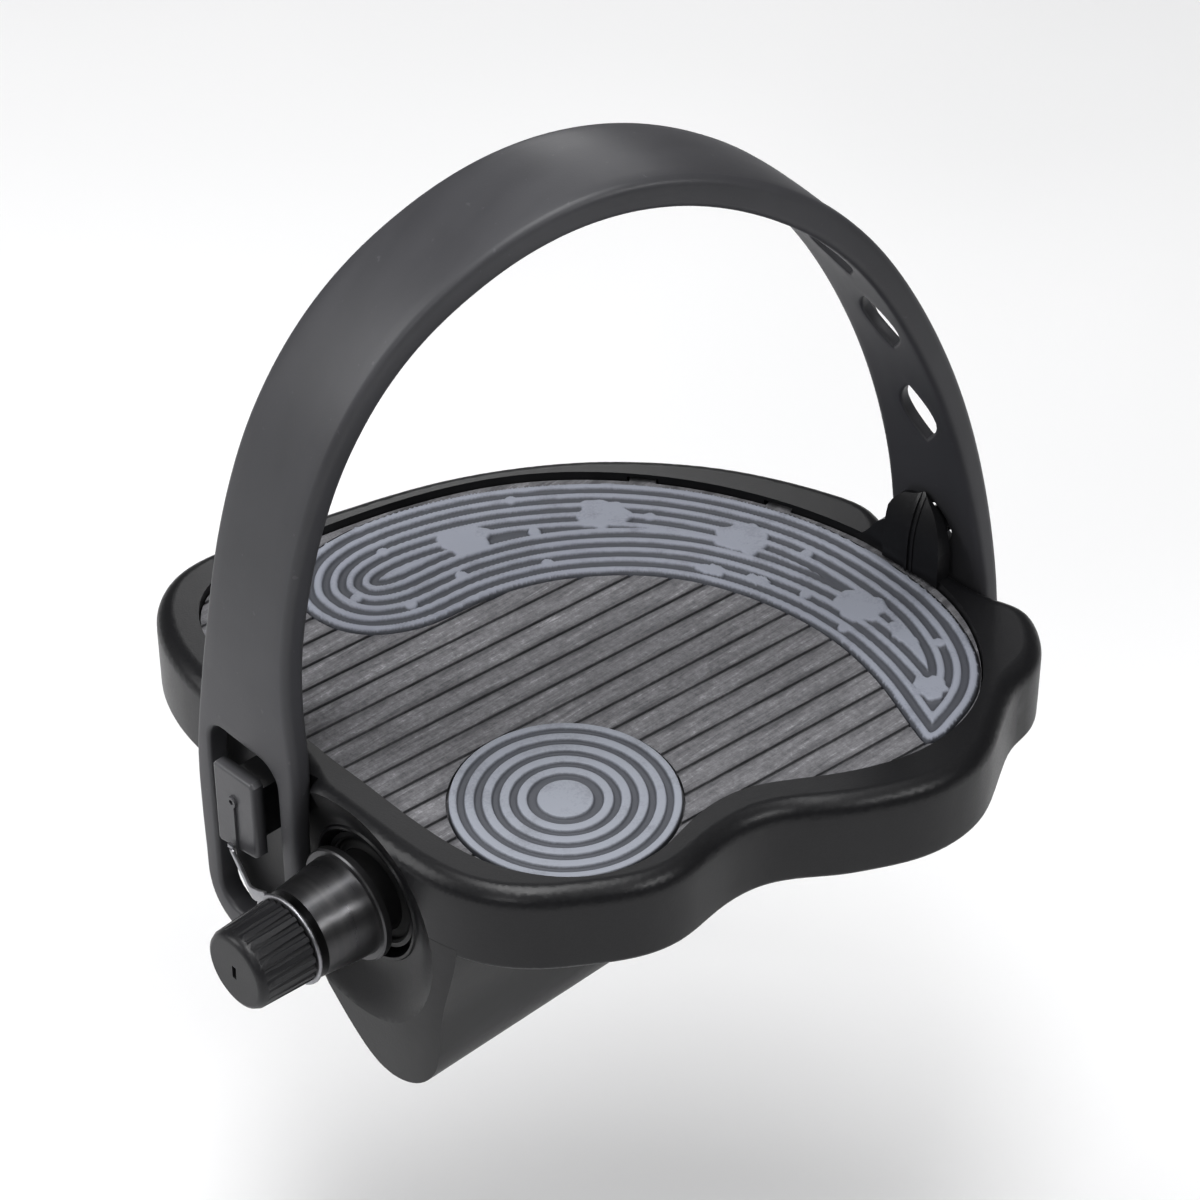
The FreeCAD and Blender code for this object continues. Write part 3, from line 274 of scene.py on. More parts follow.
def steel(name, dark, light, r0, r1, metal, axis_scale):
    """Turned or rolled steel with fine tool lines and a little tarnish."""
    m = Mat(name)
    lines = m.noise(60.0, 4.0, 0.6, m.coords(axis_scale))
    tarn = m.noise(120.0, 4.0, 0.6)
    m.colour(m.mix(m.span(m.math("ADD", m.math("MULTIPLY", lines, 0.5), m.math("MULTIPLY", tarn, 0.5)), 0.35, 0.65, 0.0, 1.0), dark, light))
    m.rough(m.span(lines, 0.3, 0.7, r0, r1))
    m.bump((lines, 0.05, 0.00002))
    m.const(Metallic=metal)
    return m


collar_mat = steel("blackened_steel", (0.078, 0.078, 0.083), (0.105, 0.104, 0.106), 0.27, 0.35, 0.85, (14.0, 1.0, 1.0))
tag_mat = steel("bright_sheet", (0.27, 0.27, 0.285), (0.40, 0.40, 0.415), 0.34, 0.48, 1.0, (8.0, 8.0, 8.0))
race_mat = steel("hard_steel", (0.38, 0.38, 0.40), (0.55, 0.55, 0.57), 0.16, 0.28, 1.0, (60.0, 1.0, 1.0))
ballst_mat = steel("ball_steel", (0.66, 0.66, 0.69), (0.80, 0.80, 0.83), 0.05, 0.12, 1.0, (3.0, 3.0, 3.0))
plate_mat = steel("plated_steel", (0.46, 0.46, 0.47), (0.64, 0.64, 0.65), 0.24, 0.38, 1.0, (12.0, 12.0, 12.0))


def cast_material():
    m = Mat("cast_iron_rough")
    n = m.noise(600.0, 5.0, 0.65)
    w = m.noise(60.0, 4.0)
    m.colour(m.mix(m.span(w, 0.3, 0.7, 0.0, 1.0), (0.075, 0.073, 0.070), (0.130, 0.122, 0.115)))
    m.rough(m.span(n, 0.3, 0.7, 0.55, 0.8))
    m.bump((n, 0.6, 0.00025))
    m.const(Metallic=0.85)
    return m


cast_mat = cast_material()
# near-black seal, darker than the body: its own black rubber plus painted shade for the deep recess it sits in
seal_recess_shade_mat = moulded("seal_rubber_and_shade", (0.004, 0.004, 0.0045), (0.007, 0.007, 0.0075), 0.62, 0.75, 2800.0)


# ------------------------------------------------------------- mesh helpers

def new_object(name, verts, faces, mat, smooth=True, angle=40.0):
    me = bpy.data.meshes.new(name)
    me.from_pydata([tuple(v) for v in verts], [], faces)
    me.validate()
    bm = bmesh.new()
    bm.from_mesh(me)
    bmesh.ops.remove_doubles(bm, verts=bm.verts, dist=1e-7)
    bmesh.ops.recalc_face_normals(bm, faces=bm.faces)
    bm.to_mesh(me)
    bm.free()
    if smooth:
        me.shade_smooth()
        me.set_sharp_from_angle(angle=math.radians(angle))
    me.materials.append(mat.m)
    o = bpy.data.objects.new(name, me)
    bpy.context.scene.collection.objects.link(o)
    return o


def spline_fn(x, y):
    """Natural cubic spline through (x, y); y may have several columns."""
    x = np.asarray(x, float)
    y = np.asarray(y, float)
    y = y[:, None] if y.ndim == 1 else y
    n = len(x)
    h = np.diff(x)
    A = np.eye(n)
    r = np.zeros_like(y)
    for i in range(1, n - 1):
        A[i, i - 1], A[i, i], A[i, i + 1] = h[i - 1], 2 * (h[i - 1] + h[i]), h[i]
        r[i] = 6 * ((y[i + 1] - y[i]) / h[i] - (y[i] - y[i - 1]) / h[i - 1])
    k = np.linalg.solve(A, r)

    def f(q):
        q = np.clip(np.asarray(q, float), x[0], x[-1])
        i = np.clip(np.searchsorted(x, q) - 1, 0, n - 2)
        hh = h[i][:, None]
        a = ((x[i + 1] - q))[:, None]
        b = ((q - x[i]))[:, None]
        return (k[i] * a ** 3 + k[i + 1] * b ** 3) / (6 * hh) + (y[i] / hh - k[i] * hh / 6) * a + (y[i + 1] / hh - k[i + 1] * hh / 6) * b

    return f


def closed_curve(pts, step):
    """Smooth closed outline through pts, resampled about every step."""
    p = np.asarray(pts, float)
    p = np.vstack([p[-4:], p, p[:5]])
    s = np.r_[0, np.cumsum(np.hypot(*np.diff(p, axis=0).T))]
    f = spline_fn(s, p)
    a, b = s[4], s[len(pts) + 4]
    n = int(round((b - a) / step))
    return f(a + (b - a) * np.arange(n) / n)


def inside(poly, pts):
    x, y = pts[:, 0], pts[:, 1]
    r = np.zeros(len(pts), bool)
    j = len(poly) - 1
    for i in range(len(poly)):
        xi, yi = poly[i]
        xj, yj = poly[j]
        c = ((yi > y) != (yj > y))
        with np.errstate(divide="ignore", invalid="ignore"):
            r ^= c & (x < (xj - xi) * (y - yi) / (yj - yi) + xi)
        j = i
    return r


def nearest(poly, pts):
    """Distance to a closed polyline and the nearest point on it."""
    a = poly
    b = np.roll(poly, -1, axis=0)
    d = b - a
    L = (d ** 2).sum(1)
    best = np.full(len(pts), 1e9)
    near = np.zeros((len(pts), 2))
    for s in range(0, len(pts), 4000):
        q = pts[s:s + 4000]
        t = np.clip(((q[:, None] - a[None]) * d[None]).sum(2) / L[None], 0, 1)
        c = a[None] + t[..., None] * d[None]
        e = ((q[:, None] - c) ** 2).sum(2)
        k = e.argmin(1)
        ii = np.arange(len(q))
        best[s:s + 4000] = np.sqrt(e[ii, k])
        near[s:s + 4000] = c[ii, k]
    return best, near


# ----------------------------------------------------------------- toe pad

TOE = [
    (42.8, 47.2), (43.0, 43.2), (44.4, 39.0), (47.2, 35.2), (51.6, 32.1), (56.8, 30.2),
    (62.8, 29.4), (69.2, 28.8), (75.2, 27.3), (81.4, 24.8), (88.2, 20.5), (94.8, 14.6),
    (100.0, 7.6), (103.6, -0.2), (105.8, -8.2), (106.9, -16.5), (106.7, -25.0), (105.2, -33.2),
    (102.9, -40.5), (100.4, -46.8), (98.6, -51.6), (98.3, -53.5), (99.8, -54.3), (104.8, -53.8),
    (111.0, -52.0), (116.6, -49.0), (121.2, -44.6), (125.2, -38.0), (128.2, -30.0), (130.0, -19.0),
    (130.2, -7.4), (128.6, 4.2), (125.1, 14.8), (120.1, 24.8), (113.8, 33.9), (107.4, 40.8),
    (100.2, 46.7), (91.2, 52.6), (81.6, 57.1), (72.2, 60.0), (63.4, 61.4), (56.2, 61.0),
    (50.4, 58.9), (46.2, 55.4), (43.6, 51.2),
]
# Flat islands where ridges run together: centre, half length, half width, turn.
ISLANDS = [
    (77.5, 44.0, 5.4, 4.6, -22), (101.7, 32.7, 5.6, 4.8, -45), (115.6, 9.4, 5.6, 4.8, -70), (117.0, -19.5, 5.4, 4.6, -92),
    (116.4, -30.5, 4.6, 1.7, -100), (109.4, -44.0, 3.6, 3.2, -120), (104.8, 6.5, 3.2, 1.7, -62), (108.8, -1.4, 2.6, 1.5, -70),
]
# Short bridges across single grooves.
BRIDGES = [(88.6, 37.2), (92.0, 47.6), (107.6, 26.0), (70.0, 36.6), (57.6, 36.4), (121.0, -2.0), (112.2, -10.4), (64.0, 51.8), (84.0, 28.6),
           (51.6, 44.6), (119.6, -36.4), (110.2, -22.0)]


def toe_pad():
    edge = closed_curve(TOE, 0.4)
    edge_in = edge
    g = 0.3
    lo, hi = edge.min(0) - g, edge.max(0) + g
    nx, ny = [int(math.ceil(v)) + 1 for v in (hi - lo) / g]
    X, Y = np.meshgrid(lo[0] + g * np.arange(nx), lo[1] + g * np.arange(ny), indexing="ij")
    pts = np.c_[X.ravel(), Y.ravel()]
    isin = inside(edge_in, pts)
    d, near = nearest(edge_in, pts)
    sd = np.where(isin, d, -d).reshape(nx, ny)
    # cells whose middle is inside; outside corners are pulled onto the edge
    mid = 0.25 * (sd[:-1, :-1] + sd[1:, :-1] + sd[:-1, 1:] + sd[1:, 1:])
    cells = np.argwhere(mid > 0.02)
    idx = -np.ones((nx, ny), int)
    used = np.zeros((nx, ny), bool)
    for a, b in ((0, 0), (1, 0), (0, 1), (1, 1)):
        used[cells[:, 0] + a, cells[:, 1] + b] = True
    idx[used] = np.arange(used.sum())
    P = pts.reshape(nx, ny, 2)[used].copy()
    D = sd[used].copy()
    N = near.reshape(nx, ny, 2)[used]
    quads = np.c_[idx[cells[:, 0], cells[:, 1]], idx[cells[:, 0] + 1, cells[:, 1]],
                  idx[cells[:, 0] + 1, cells[:, 1] + 1], idx[cells[:, 0], cells[:, 1] + 1]]
    # the rim vertices of that patch go onto the outline
    e = {}
    for q in quads:
        for k in range(4):
            u, v = int(q[k]), int(q[(k + 1) % 4])
            e[(u, v)] = e.get((u, v), 0) + 1
    rim = [(u, v) for (u, v) in e if (v, u) not in e]
    rv = np.unique(np.array(rim).ravel())
    P[rv] = N[rv]
    D[rv] = 0.0
    # ridge profile across the distance from the edge
    pitch = 2.92
    ph = (D - 0.15) / pitch
    w = ph - np.floor(ph)
    tri = np.abs(w - 0.32) / 0.32
    ridge = np.where(w < 0.64, np.clip((1.0 - tri) * 2.2, 0, 1), 0.0)
    ridge = ridge * ridge * (3 - 2 * ridge)
    fill = np.zeros(len(P))
    for k, (cx, cy, a, b, ang) in enumerate(ISLANDS):
        t = math.radians(ang)
        u = (P[:, 0] - cx) * math.cos(t) + (P[:, 1] - cy) * math.sin(t)
        v = -(P[:, 0] - cx) * math.sin(t) + (P[:, 1] - cy) * math.cos(t)
        th = np.arctan2(v, u)
        r = ((np.abs(u) / a) ** 2.2 + (np.abs(v) / b) ** 2.2) ** (1 / 2.2)
        r = r / (1.0 + 0.08 * np.sin(3 * th + 1.7 * k) + 0.06 * np.sin(5 * th + 2.9 * k) + 0.06 * np.sin(8 * th + k))
        fill = np.maximum(fill, np.clip((1.0 - r) * 6.0, 0, 1))
    for cx, cy in BRIDGES:
        r = np.hypot(P[:, 0] - cx, P[:, 1] - cy) / 1.5
        fill = np.maximum(fill, np.clip((1.0 - r) * 3.0, 0, 1))
    fill = fill * fill * (3 - 2 * fill)
    hgt = np.maximum(ridge, fill)
    low, top, seat = 19.2 - 0.02, 19.9, 18.02
    z = low + (top - low) * hgt
    z = np.where(D < 0.25, np.maximum(z, low + (top - low) * np.clip(D / 0.25, 0, 1) ** 0.5 * 0.9), z)
    V = np.c_[P, z]
    faces = [tuple(int(i) for i in q) for q in quads]
    # skirt down to the seat, then a base
    nxt = {u: v for u, v in rim}
    base = {}
    Vx = [tuple(v) for v in V]
    for u in nxt:
        base[u] = len(Vx)
        Vx.append((P[u][0], P[u][1], seat))
    for u, v in rim:
        faces.append((v, u, base[u], base[v]))
    loop = []
    start = rim[0][0]
    u = start
    while True:
        loop.append(base[u])
        u = nxt[u]
        if u == start or len(loop) > len(rim):
            break
    faces.append(tuple(loop))
    return new_object("toe_pad_ridged", np.array(Vx) * MM, faces, toe_mat, angle=75.0)


# ---------------------------------------------------------------- ball pad

def ball_pad():
    top, low, seat, R = 19.9, 19.2 - 0.02, 18.02, 20.0
    prof = []
    r = 0.0
    # centre disc, then rings: (inner radius, outer radius) of each raised part
    raised = [(0.0, 4.9), (6.5, 8.3), (9.5, 11.3), (12.5, 14.3), (15.5, 17.3), (18.5, 20.0)]
    q = np.arange(0.0, 20.0001, 0.12)
    for r in q:
        h = 0.0
        for a, b in raised:
            edge = 0.42
            if a - edge < r < b + edge:
                u = min((r - a) / edge + 0.5 if a > 0 else 9, (b - r) / edge + 0.5, 1.0)
                u = max(u, 0.0)
                k = u * u * (3 - 2 * u)
                mid = (a + b) / 2
                crown = 0.10 * ((r - mid) / max((b - a) / 2, 0.1)) ** 2 if a > 0 else 0.05 * (r / b) ** 2
                h = max(h, k * (1 - crown))
        prof.append((r, low + (top - low) * h))
    prof.append((R, top - 0.55))
    prof.append((R, seat))
    n = 240
    V, F = [(42.0, -22.0, prof[0][1])], []
    rings = prof[1:]
    for r, z in rings:
        for k in range(n):
            a = 2 * math.pi * k / n
            V.append((42.0 + r * math.cos(a), -22.0 + r * math.sin(a), z))
    for k in range(n):
        F.append((0, 1 + k, 1 + (k + 1) % n))
    for j in range(len(rings) - 1):
        for k in range(n):
            a, b = 1 + j * n + k, 1 + j * n + (k + 1) % n
            F.append((a, a + n, b + n, b))
    last = 1 + (len(rings) - 1) * n
    F.append(tuple(last + k for k in range(n)))
    return new_object("ball_pad_ringed", np.array(V) * MM, F, ball_mat, angle=60.0)


# ------------------------------------------------------------------- strap

ARCH = [
    (9.0, -31.0), (9.0, -28.6), (9.0, -24.5), (9.0, -16.0), (9.0, -10.0), (9.0, -4.0), (9.0, 2.0),
    (9.0, 8.0), (9.0, 19.0), (9.2, 30.0), (10.2, 42.0), (12.0, 54.0),
    (14.7, 66.0), (18.2, 77.0), (22.8, 87.0), (28.5, 96.0), (36.0, 104.4),
    (44.3, 110.9), (54.0, 116.2), (64.3, 119.3), (74.5, 119.9), (85.3, 117.9),
    (96.2, 113.1), (106.2, 106.0), (114.6, 97.0), (121.3, 86.6), (127.2, 74.6),
    (132.1, 62.0), (136.2, 48.0), (139.3, 33.0), (141.2, 18.0), (142.0, 4.0),
    (142.0, -5.0), (142.0, -9.0),
]


def strap():
    A = np.array(ARCH) + np.array([0.0, LIFT])
    S = np.r_[0, np.cumsum(np.hypot(*np.diff(A, axis=0).T))]
    path = spline_fn(S, A)
    end = S[-1]
    dense = np.linspace(0, end, 1600)
    PD = path(dense)

    # half widths on the heel (-) and toe (+) sides by distance along
    zc = [-31.0, -24.0, -16.0, -10.0, -4.0, 2.0, 8.0, 19.0, 30.0, 42.0, 54.0]
    zc = [v + 31.0 for v in zc]
    toe_w = [15.0, 15.2, 15.2, 15.4, 15.5, 15.5, 15.2, 13.8, 12.2, 11.2, 11.0]
    heel_w = [13.4, 13.2, 12.9, 12.2, 12.0, 12.0, 12.4, 13.1, 12.2, 11.2, 11.0]
    far = end - np.array([0.0, 4.0, 13.0, 27.0, 42.0, 60.0])[::-1]
    sw = np.r_[zc, [150.0], far]
    tw = np.r_[toe_w, [11.0], [11.0, 11.2, 11.7, 12.0, 12.0, 12.0]]
    hw = np.r_[heel_w, [11.0], [11.0, 11.2, 11.7, 12.0, 12.0, 12.0]]

    ft, fh = spline_fn(sw, tw), spline_fn(sw, hw)

    def end_round(s):
        a = np.clip(s / 13.0, 0, 1)
        b = np.clip((end - s) / 10.0, 0, 1)
        return (1 - (1 - a) ** 2.6) ** (1 / 2.6) * (1 - (1 - b) ** 2.6) ** (1 / 2.6)

    def thick(s):
        z = path(s)[:, 1]
        f = np.clip((z - LIFT - 10.0) / 100.0, 0, 1)
        return 4.6 + 1.4 * f

    # outline in the flat (distance along, across)
    q = (1 - np.cos(np.linspace(0, math.pi / 2, 14))) * 13.0
    q2 = end - ((1 - np.cos(np.linspace(0, math.pi / 2, 12))) * 10.0)[::-1]
    ss = np.r_[q, np.arange(q[-1] + 1.3, q2[0] - 0.6, 1.3), q2]
    rr = end_round(ss)
    toe_e = np.c_[ss, ft(ss)[:, 0] * rr]
    heel_e = np.c_[ss, -fh(ss)[:, 0] * rr]
    outer = np.vstack([heel_e, toe_e[::-1][1:-1]])

    def rounded(s0, s1, t0, t1, r, n=7):
        out = []
        for cs, ct, a0 in ((s1 - r, t1 - r, 0), (s0 + r, t1 - r, 90), (s0 + r, t0 + r, 180), (s1 - r, t0 + r, 270)):
            for k in range(n):
                a = math.radians(a0 + 90.0 * k / (n - 1))
                out.append((cs + r * math.cos(a), ct + r * math.sin(a)))
        out = np.array(out)
        # add points along the long sides
        dense_l = []
        for i in range(len(out)):
            a, b = out[i], out[(i + 1) % len(out)]
            m = max(1, int(np.hypot(*(b - a)) / 1.4))
            for k in range(m):
                dense_l.append(a + (b - a) * k / m)
        return np.array(dense_l)

    holes = [rounded(6.4, 48.6, -8.2, 10.6, 4.5)]
    for hx, hz, hy, hl, hv in ((139.4, 25.8, -0.6, 5.2, 3.6), (131.2, 53.1, -1.6, 7.0, 4.3), (123.3, 75.7, -1.8, 7.0, 4.3), (112.9, 93.5, -2.4, 7.0, 4.3)):
        k = np.hypot(PD[:, 0] - hx, PD[:, 1] - hz - LIFT).argmin()
        c = dense[k]
        u = np.sin(np.linspace(-math.pi / 2, math.pi / 2, 15))
        v = hv * (1 - np.abs(u) ** 1.8)
        up = np.c_[c + hl * u, v + hy]
        dn = np.c_[c + hl * u[::-1], -v[::-1] + hy]
        holes.append(np.vstack([up, dn[1:-1]]))

    def normals(poly, sign):
        t = np.roll(poly, -1, axis=0) - np.roll(poly, 1, axis=0)
        t /= np.maximum(np.hypot(t[:, 0], t[:, 1]), 1e-9)[:, None]
        return sign * np.c_[-t[:, 1], t[:, 0]]

    def area(poly):
        x, y = poly[:, 0], poly[:, 1]
        return 0.5 * np.sum(x * np.roll(y, -1) - np.roll(x, -1) * y)

    # the channel runs from past the top of the arch to above the far end
    chan0 = dense[np.hypot(PD[:, 0] - 106.2, PD[:, 1] - 109.9).argmin()]
    chan1 = dense[np.hypot(PD[:, 0] - 141.2, PD[:, 1] - 21.9).argmin()]

    loops = []
    for i, lp in enumerate([outer] + holes):
        sgn = 1.0 if area(lp) > 0 else -1.0
        inward = normals(lp, sgn)          # left of a ccw loop: into the material for the outline
        if i > 0:
            inward = -inward               # away from a hole's middle: into the material
        loops.append((lp, inward, 1.5 if i == 0 else (0.9 if i == 1 else 0.55)))

    rows = []      # (s, t, kind, depth) ; kind 0 from the outer face, 1 from the inner face
    faces = []
    flat_loops = []
    for lp, nrm, R in loops:
        prof = [(R * (1 - math.sin(a)), R * (1 - math.cos(a)), 0) for a in np.linspace(0, math.pi / 2, 6)]
        prof += [(R * (1 - math.cos(a)), R - R * math.sin(a), 1) for a in np.linspace(0, math.pi / 2, 6)]
        n = len(lp)
        base = len(rows)
        for off, dep, kind in prof:
            p = lp + nrm * off
            for k in range(n):
                rows.append((p[k, 0], p[k, 1], kind, dep))
        for j in range(len(prof) - 1):
            for k in range(n):
                a, b = base + j * n + k, base + j * n + (k + 1) % n
                faces.append((a, b, b + n, a + n))
        flat_loops.append((base, base + (len(prof) - 1) * n, n, lp + nrm * R))

    # fill of the two faces from one triangulation
    coords, edges, who = [], [], []
    for top0, bot0, n, p in flat_loops:
        o = len(coords)
        for k in range(n):
            coords.append(Vector((p[k, 0], p[k, 1])))
            who.append((top0 + k, bot0 + k))
            edges.append((o + k, o + (k + 1) % n))
    grid = []
    for s in np.arange(1.5, end - 1.0, 2.0):
        for t in np.arange(-15.0, 15.6, 2.5):
            grid.append((s, t))
    # rows of points on both sides of the channel's edges
    for s in np.arange(chan0 - 6.0, chan1 + 6.0, 1.6):
        half = ft(np.array([s]))[0, 0]
        for v in (3.9, 3.25, 2.6):
            grid += [(s, half - v), (s, v - half)]
    grid = np.array(grid)
    ok = inside(flat_loops[0][3], grid) & (nearest(flat_loops[0][3], grid)[0] > 0.8)
    for top0, bot0, n, p in flat_loops[1:]:
        ok &= ~inside(p, grid) & (nearest(p, grid)[0] > 0.7)
    for s, t in grid[ok]:
        a = len(rows)
        rows.append((s, t, 0, 0.0))
        rows.append((s, t, 1, 0.0))
        coords.append(Vector((s, t)))
        who.append((a, a + 1))
    ov, oe, of_, orig, _, _ = geometry.delaunay_2d_cdt(coords, edges, [], 0, 1e-6)
    tri = np.array([[orig[i][0] for i in f] for f in of_ if len(f) == 3 and all(orig[i] for i in f)])
    xy = np.array([(c[0], c[1]) for c in coords])
    cen = xy[tri].mean(1)
    keep = inside(flat_loops[0][3], cen)
    for top0, bot0, n, p in flat_loops[1:]:
        keep &= ~inside(p, cen)
    for f in tri[keep]:
        faces.append(tuple(who[i][0] for i in f))
        faces.append(tuple(who[i][1] for i in f[::-1]))

    R_ = np.array(rows, float)
    s, t = R_[:, 0], R_[:, 1]
    th = thick(s)
    half = np.where(t > 0, ft(s)[:, 0], fh(s)[:, 0])
    crown = 0.45 * np.clip(np.abs(t) / np.maximum(half, 1), 0, 1) ** 2.5
    run = np.clip((s - chan0) / 9.0, 0, 1) * np.clip((chan1 - s) / 9.0, 0, 1)
    run = run * run * (3 - 2 * run)
    side = np.clip((half - np.abs(t) - 2.6) / 1.0, 0, 1)
    chan = (th - 2.3) * run * side * side * (3 - 2 * side)
    depth = np.where(R_[:, 2] == 0, R_[:, 3] + crown + chan, th - R_[:, 3])
    ds = 0.25
    c0, ca, cb = path(s), path(s - ds), path(s + ds)
    tan = cb - ca
    tan /= np.hypot(tan[:, 0], tan[:, 1])[:, None]
    inn = np.c_[tan[:, 1], -tan[:, 0]]
    zz = c0[:, 1] - LIFT
    beta = np.radians(7.0) * np.clip((zz - 10.0) / 100.0, 0, 1)
    yc = 24.0 - (c0[:, 0] - 9.0) * 44.0 / 132.0
    X = c0[:, 0] + inn[:, 0] * depth + np.sin(beta) * t
    Y = yc + np.cos(beta) * t
    Z = c0[:, 1] + inn[:, 1] * depth
    return new_object("foot_strap_rubber", np.c_[X, Y, Z] * MM, faces, strap_mat, angle=50.0)


# ----------------------------------------------------- shown CAD nodes, smooth

def region_normals(me, angle):
    """Corner normals in which a wide flat face outweighs the small facets beside it."""
    nf = len(me.polygons)
    tri = np.empty(nf * 3, int)
    me.polygons.foreach_get("vertices", tri)
    tri = tri.reshape(nf, 3)
    co = np.empty(len(me.vertices) * 3)
    me.vertices.foreach_get("co", co)
    co = co.reshape(-1, 3)
    a, b, c = co[tri[:, 0]], co[tri[:, 1]], co[tri[:, 2]]
    n = np.cross(b - a, c - a)
    ar = np.linalg.norm(n, axis=1)
    n /= np.maximum(ar, 1e-16)[:, None]
    # flat regions: faces joined across nearly coplanar edges
    e = np.vstack([np.sort(tri[:, [i, (i + 1) % 3]], axis=1) for i in range(3)])
    f = np.tile(np.arange(nf), 3)
    o = np.lexsort((e[:, 1], e[:, 0]))
    e, f = e[o], f[o]
    same = np.all(e[1:] == e[:-1], axis=1)
    p, q = f[:-1][same], f[1:][same]
    flat = (n[p] * n[q]).sum(1) > math.cos(math.radians(0.25))
    lab = np.arange(nf)
    p, q = p[flat], q[flat]
    while True:
        m = np.minimum(lab[p], lab[q])
        new = lab.copy()
        np.minimum.at(new, p, m)
        np.minimum.at(new, q, m)
        new = new[new]
        if np.array_equal(new, lab):
            break
        lab = new
    size = np.bincount(lab, weights=ar, minlength=nf)[lab]
    # pairs of corners that share a vertex
    v = tri.ravel()
    fc = np.repeat(np.arange(nf), 3)
    order = np.argsort(v, kind="stable")
    vs, fs = v[order], fc[order]
    start = np.searchsorted(vs, np.arange(len(co)))
    count = np.bincount(v, minlength=len(co))
    out = np.zeros((len(v), 3))
    lim = math.cos(math.radians(angle))
    for k in range(count.max()):
        has = count[v] > k
        g = fs[np.minimum(start[v] + k, len(fs) - 1)]
        near = has & ((n[fc] * n[g]).sum(1) > lim)
        out += np.where(near, size[g], 0.0)[:, None] * n[g]
    ln = np.linalg.norm(out, axis=1)
    out = np.where(ln[:, None] > 1e-16, out / np.maximum(ln, 1e-16)[:, None], n[fc])
    return out


def refined(node, name, mat, body, angle=30.0):
    """A welded, smooth-shaded copy of a CAD node that stands for it."""
    me = nodes[node].data.copy()
    me.name = name
    bm = bmesh.new()
    bm.from_mesh(me)
    bmesh.ops.remove_doubles(bm, verts=bm.verts, dist=2e-7)
    bmesh.ops.triangulate(bm, faces=bm.faces)
    bm.to_mesh(me)
    bm.free()
    me.shade_smooth()
    me.normals_split_custom_set(region_normals(me, angle).tolist())
    me.materials.clear()
    me.materials.append(mat.m)
    o = bpy.data.objects.new(name, me)
    bpy.context.scene.collection.objects.link(o)
    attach(o, body)
    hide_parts(node)
    return o


def turned(name, prof, mat, n=120, angle=45.0):
    """A ring turned about the spindle axis from a closed (x, radius) outline."""
    V, F = [], []
    for k in range(n):
        a = 2 * math.pi * k / n
        V += [(x * MM, r * math.cos(a) * MM, r * math.sin(a) * MM) for x, r in prof]
    m = len(prof)
    for k in range(n):
        for j in range(m):
            a, b = k * m + j, k * m + (j + 1) % m
            c, d = ((k + 1) % n) * m + (j + 1) % m, ((k + 1) % n) * m + j
            F.append((a, b, c, d))
    return new_object(name, V, F, mat, angle=angle)


def oval(cx, cy, a, b, power, n):
    t = 2 * np.pi * np.arange(n) / n
    c, s = np.cos(t), np.sin(t)
    return np.c_[cx + a * np.sign(c) * np.abs(c) ** power, cy + b * np.sign(s) * np.abs(s) ** power]


def spindle_tag():
    """Sheet ring on the thread, joined by a bent ribbon to the foot of the strap hook."""
    ring = turned("spindle_tag_ring", oval(-2.0, 7.925, 0.4, 0.775, 0.5, 20).tolist(), tag_mat)
    pts = np.array([(-2.0, 5.5, 5.9), (-2.0, 7.6, 4.95), (-1.8, 9.6, 4.1), (-0.7, 12.2, 3.2), (1.0, 15.6, 2.05), (3.0, 19.7, 0.65),
                    (4.2, 22.3, -0.1), (4.7, 23.6, 0.0), (4.8, 24.2, 0.7), (4.8, 24.3, 1.6)])
    S = np.r_[0, np.cumsum(np.linalg.norm(np.diff(pts, axis=0), axis=1))]
    f = spline_fn(S, pts)
    q = np.linspace(0, S[-1], 70)
    P = f(q)
    D = np.gradient(P, axis=0)
    D /= np.linalg.norm(D, axis=1)[:, None]
    up = np.array([0.0, 0.331, 0.943])
    W = up - (D @ up)[:, None] * D
    W /= np.linalg.norm(W, axis=1)[:, None]
    N = np.cross(D, W)
    wide = np.interp(q / S[-1], [0, 0.35, 0.8, 1.0], [1.25, 1.35, 1.2, 0.7])
    V, F = [], []
    m = 16
    for p_, w_, n_, hw in zip(P, W, N, wide):
        for a, b in oval(0, 0, hw, 0.36, 0.5, m):
            V.append((p_ + w_ * a + n_ * b) * MM)
    for k in range(len(P) - 1):
        for j in range(m):
            a, b = k * m + j, k * m + (j + 1) % m
            F.append((a, b, b + m, a + m))
    F.append(tuple(range(m))[::-1])
    F.append(tuple((len(P) - 1) * m + j for j in range(m)))
    rib = new_object("spindle_tag_ribbon", V, F, tag_mat)
    mod = ring.modifiers.new("join", "BOOLEAN")
    mod.operation, mod.solver, mod.object = "UNION", "EXACT", rib
    bpy.context.view_layer.update()
    done = bpy.data.meshes.new_from_object(ring.evaluated_get(bpy.context.evaluated_depsgraph_get()))
    bpy.data.objects.remove(ring)
    bpy.data.objects.remove(rib)
    done.name = "spindle_tag_sheet"
    done.shade_smooth()
    done.set_sharp_from_angle(angle=math.radians(50.0))
    o = bpy.data.objects.new("spindle_tag_sheet", done)
    bpy.context.scene.collection.objects.link(o)
    return o


def stands_for(o, node, body):
    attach(o, body)
    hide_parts(node)


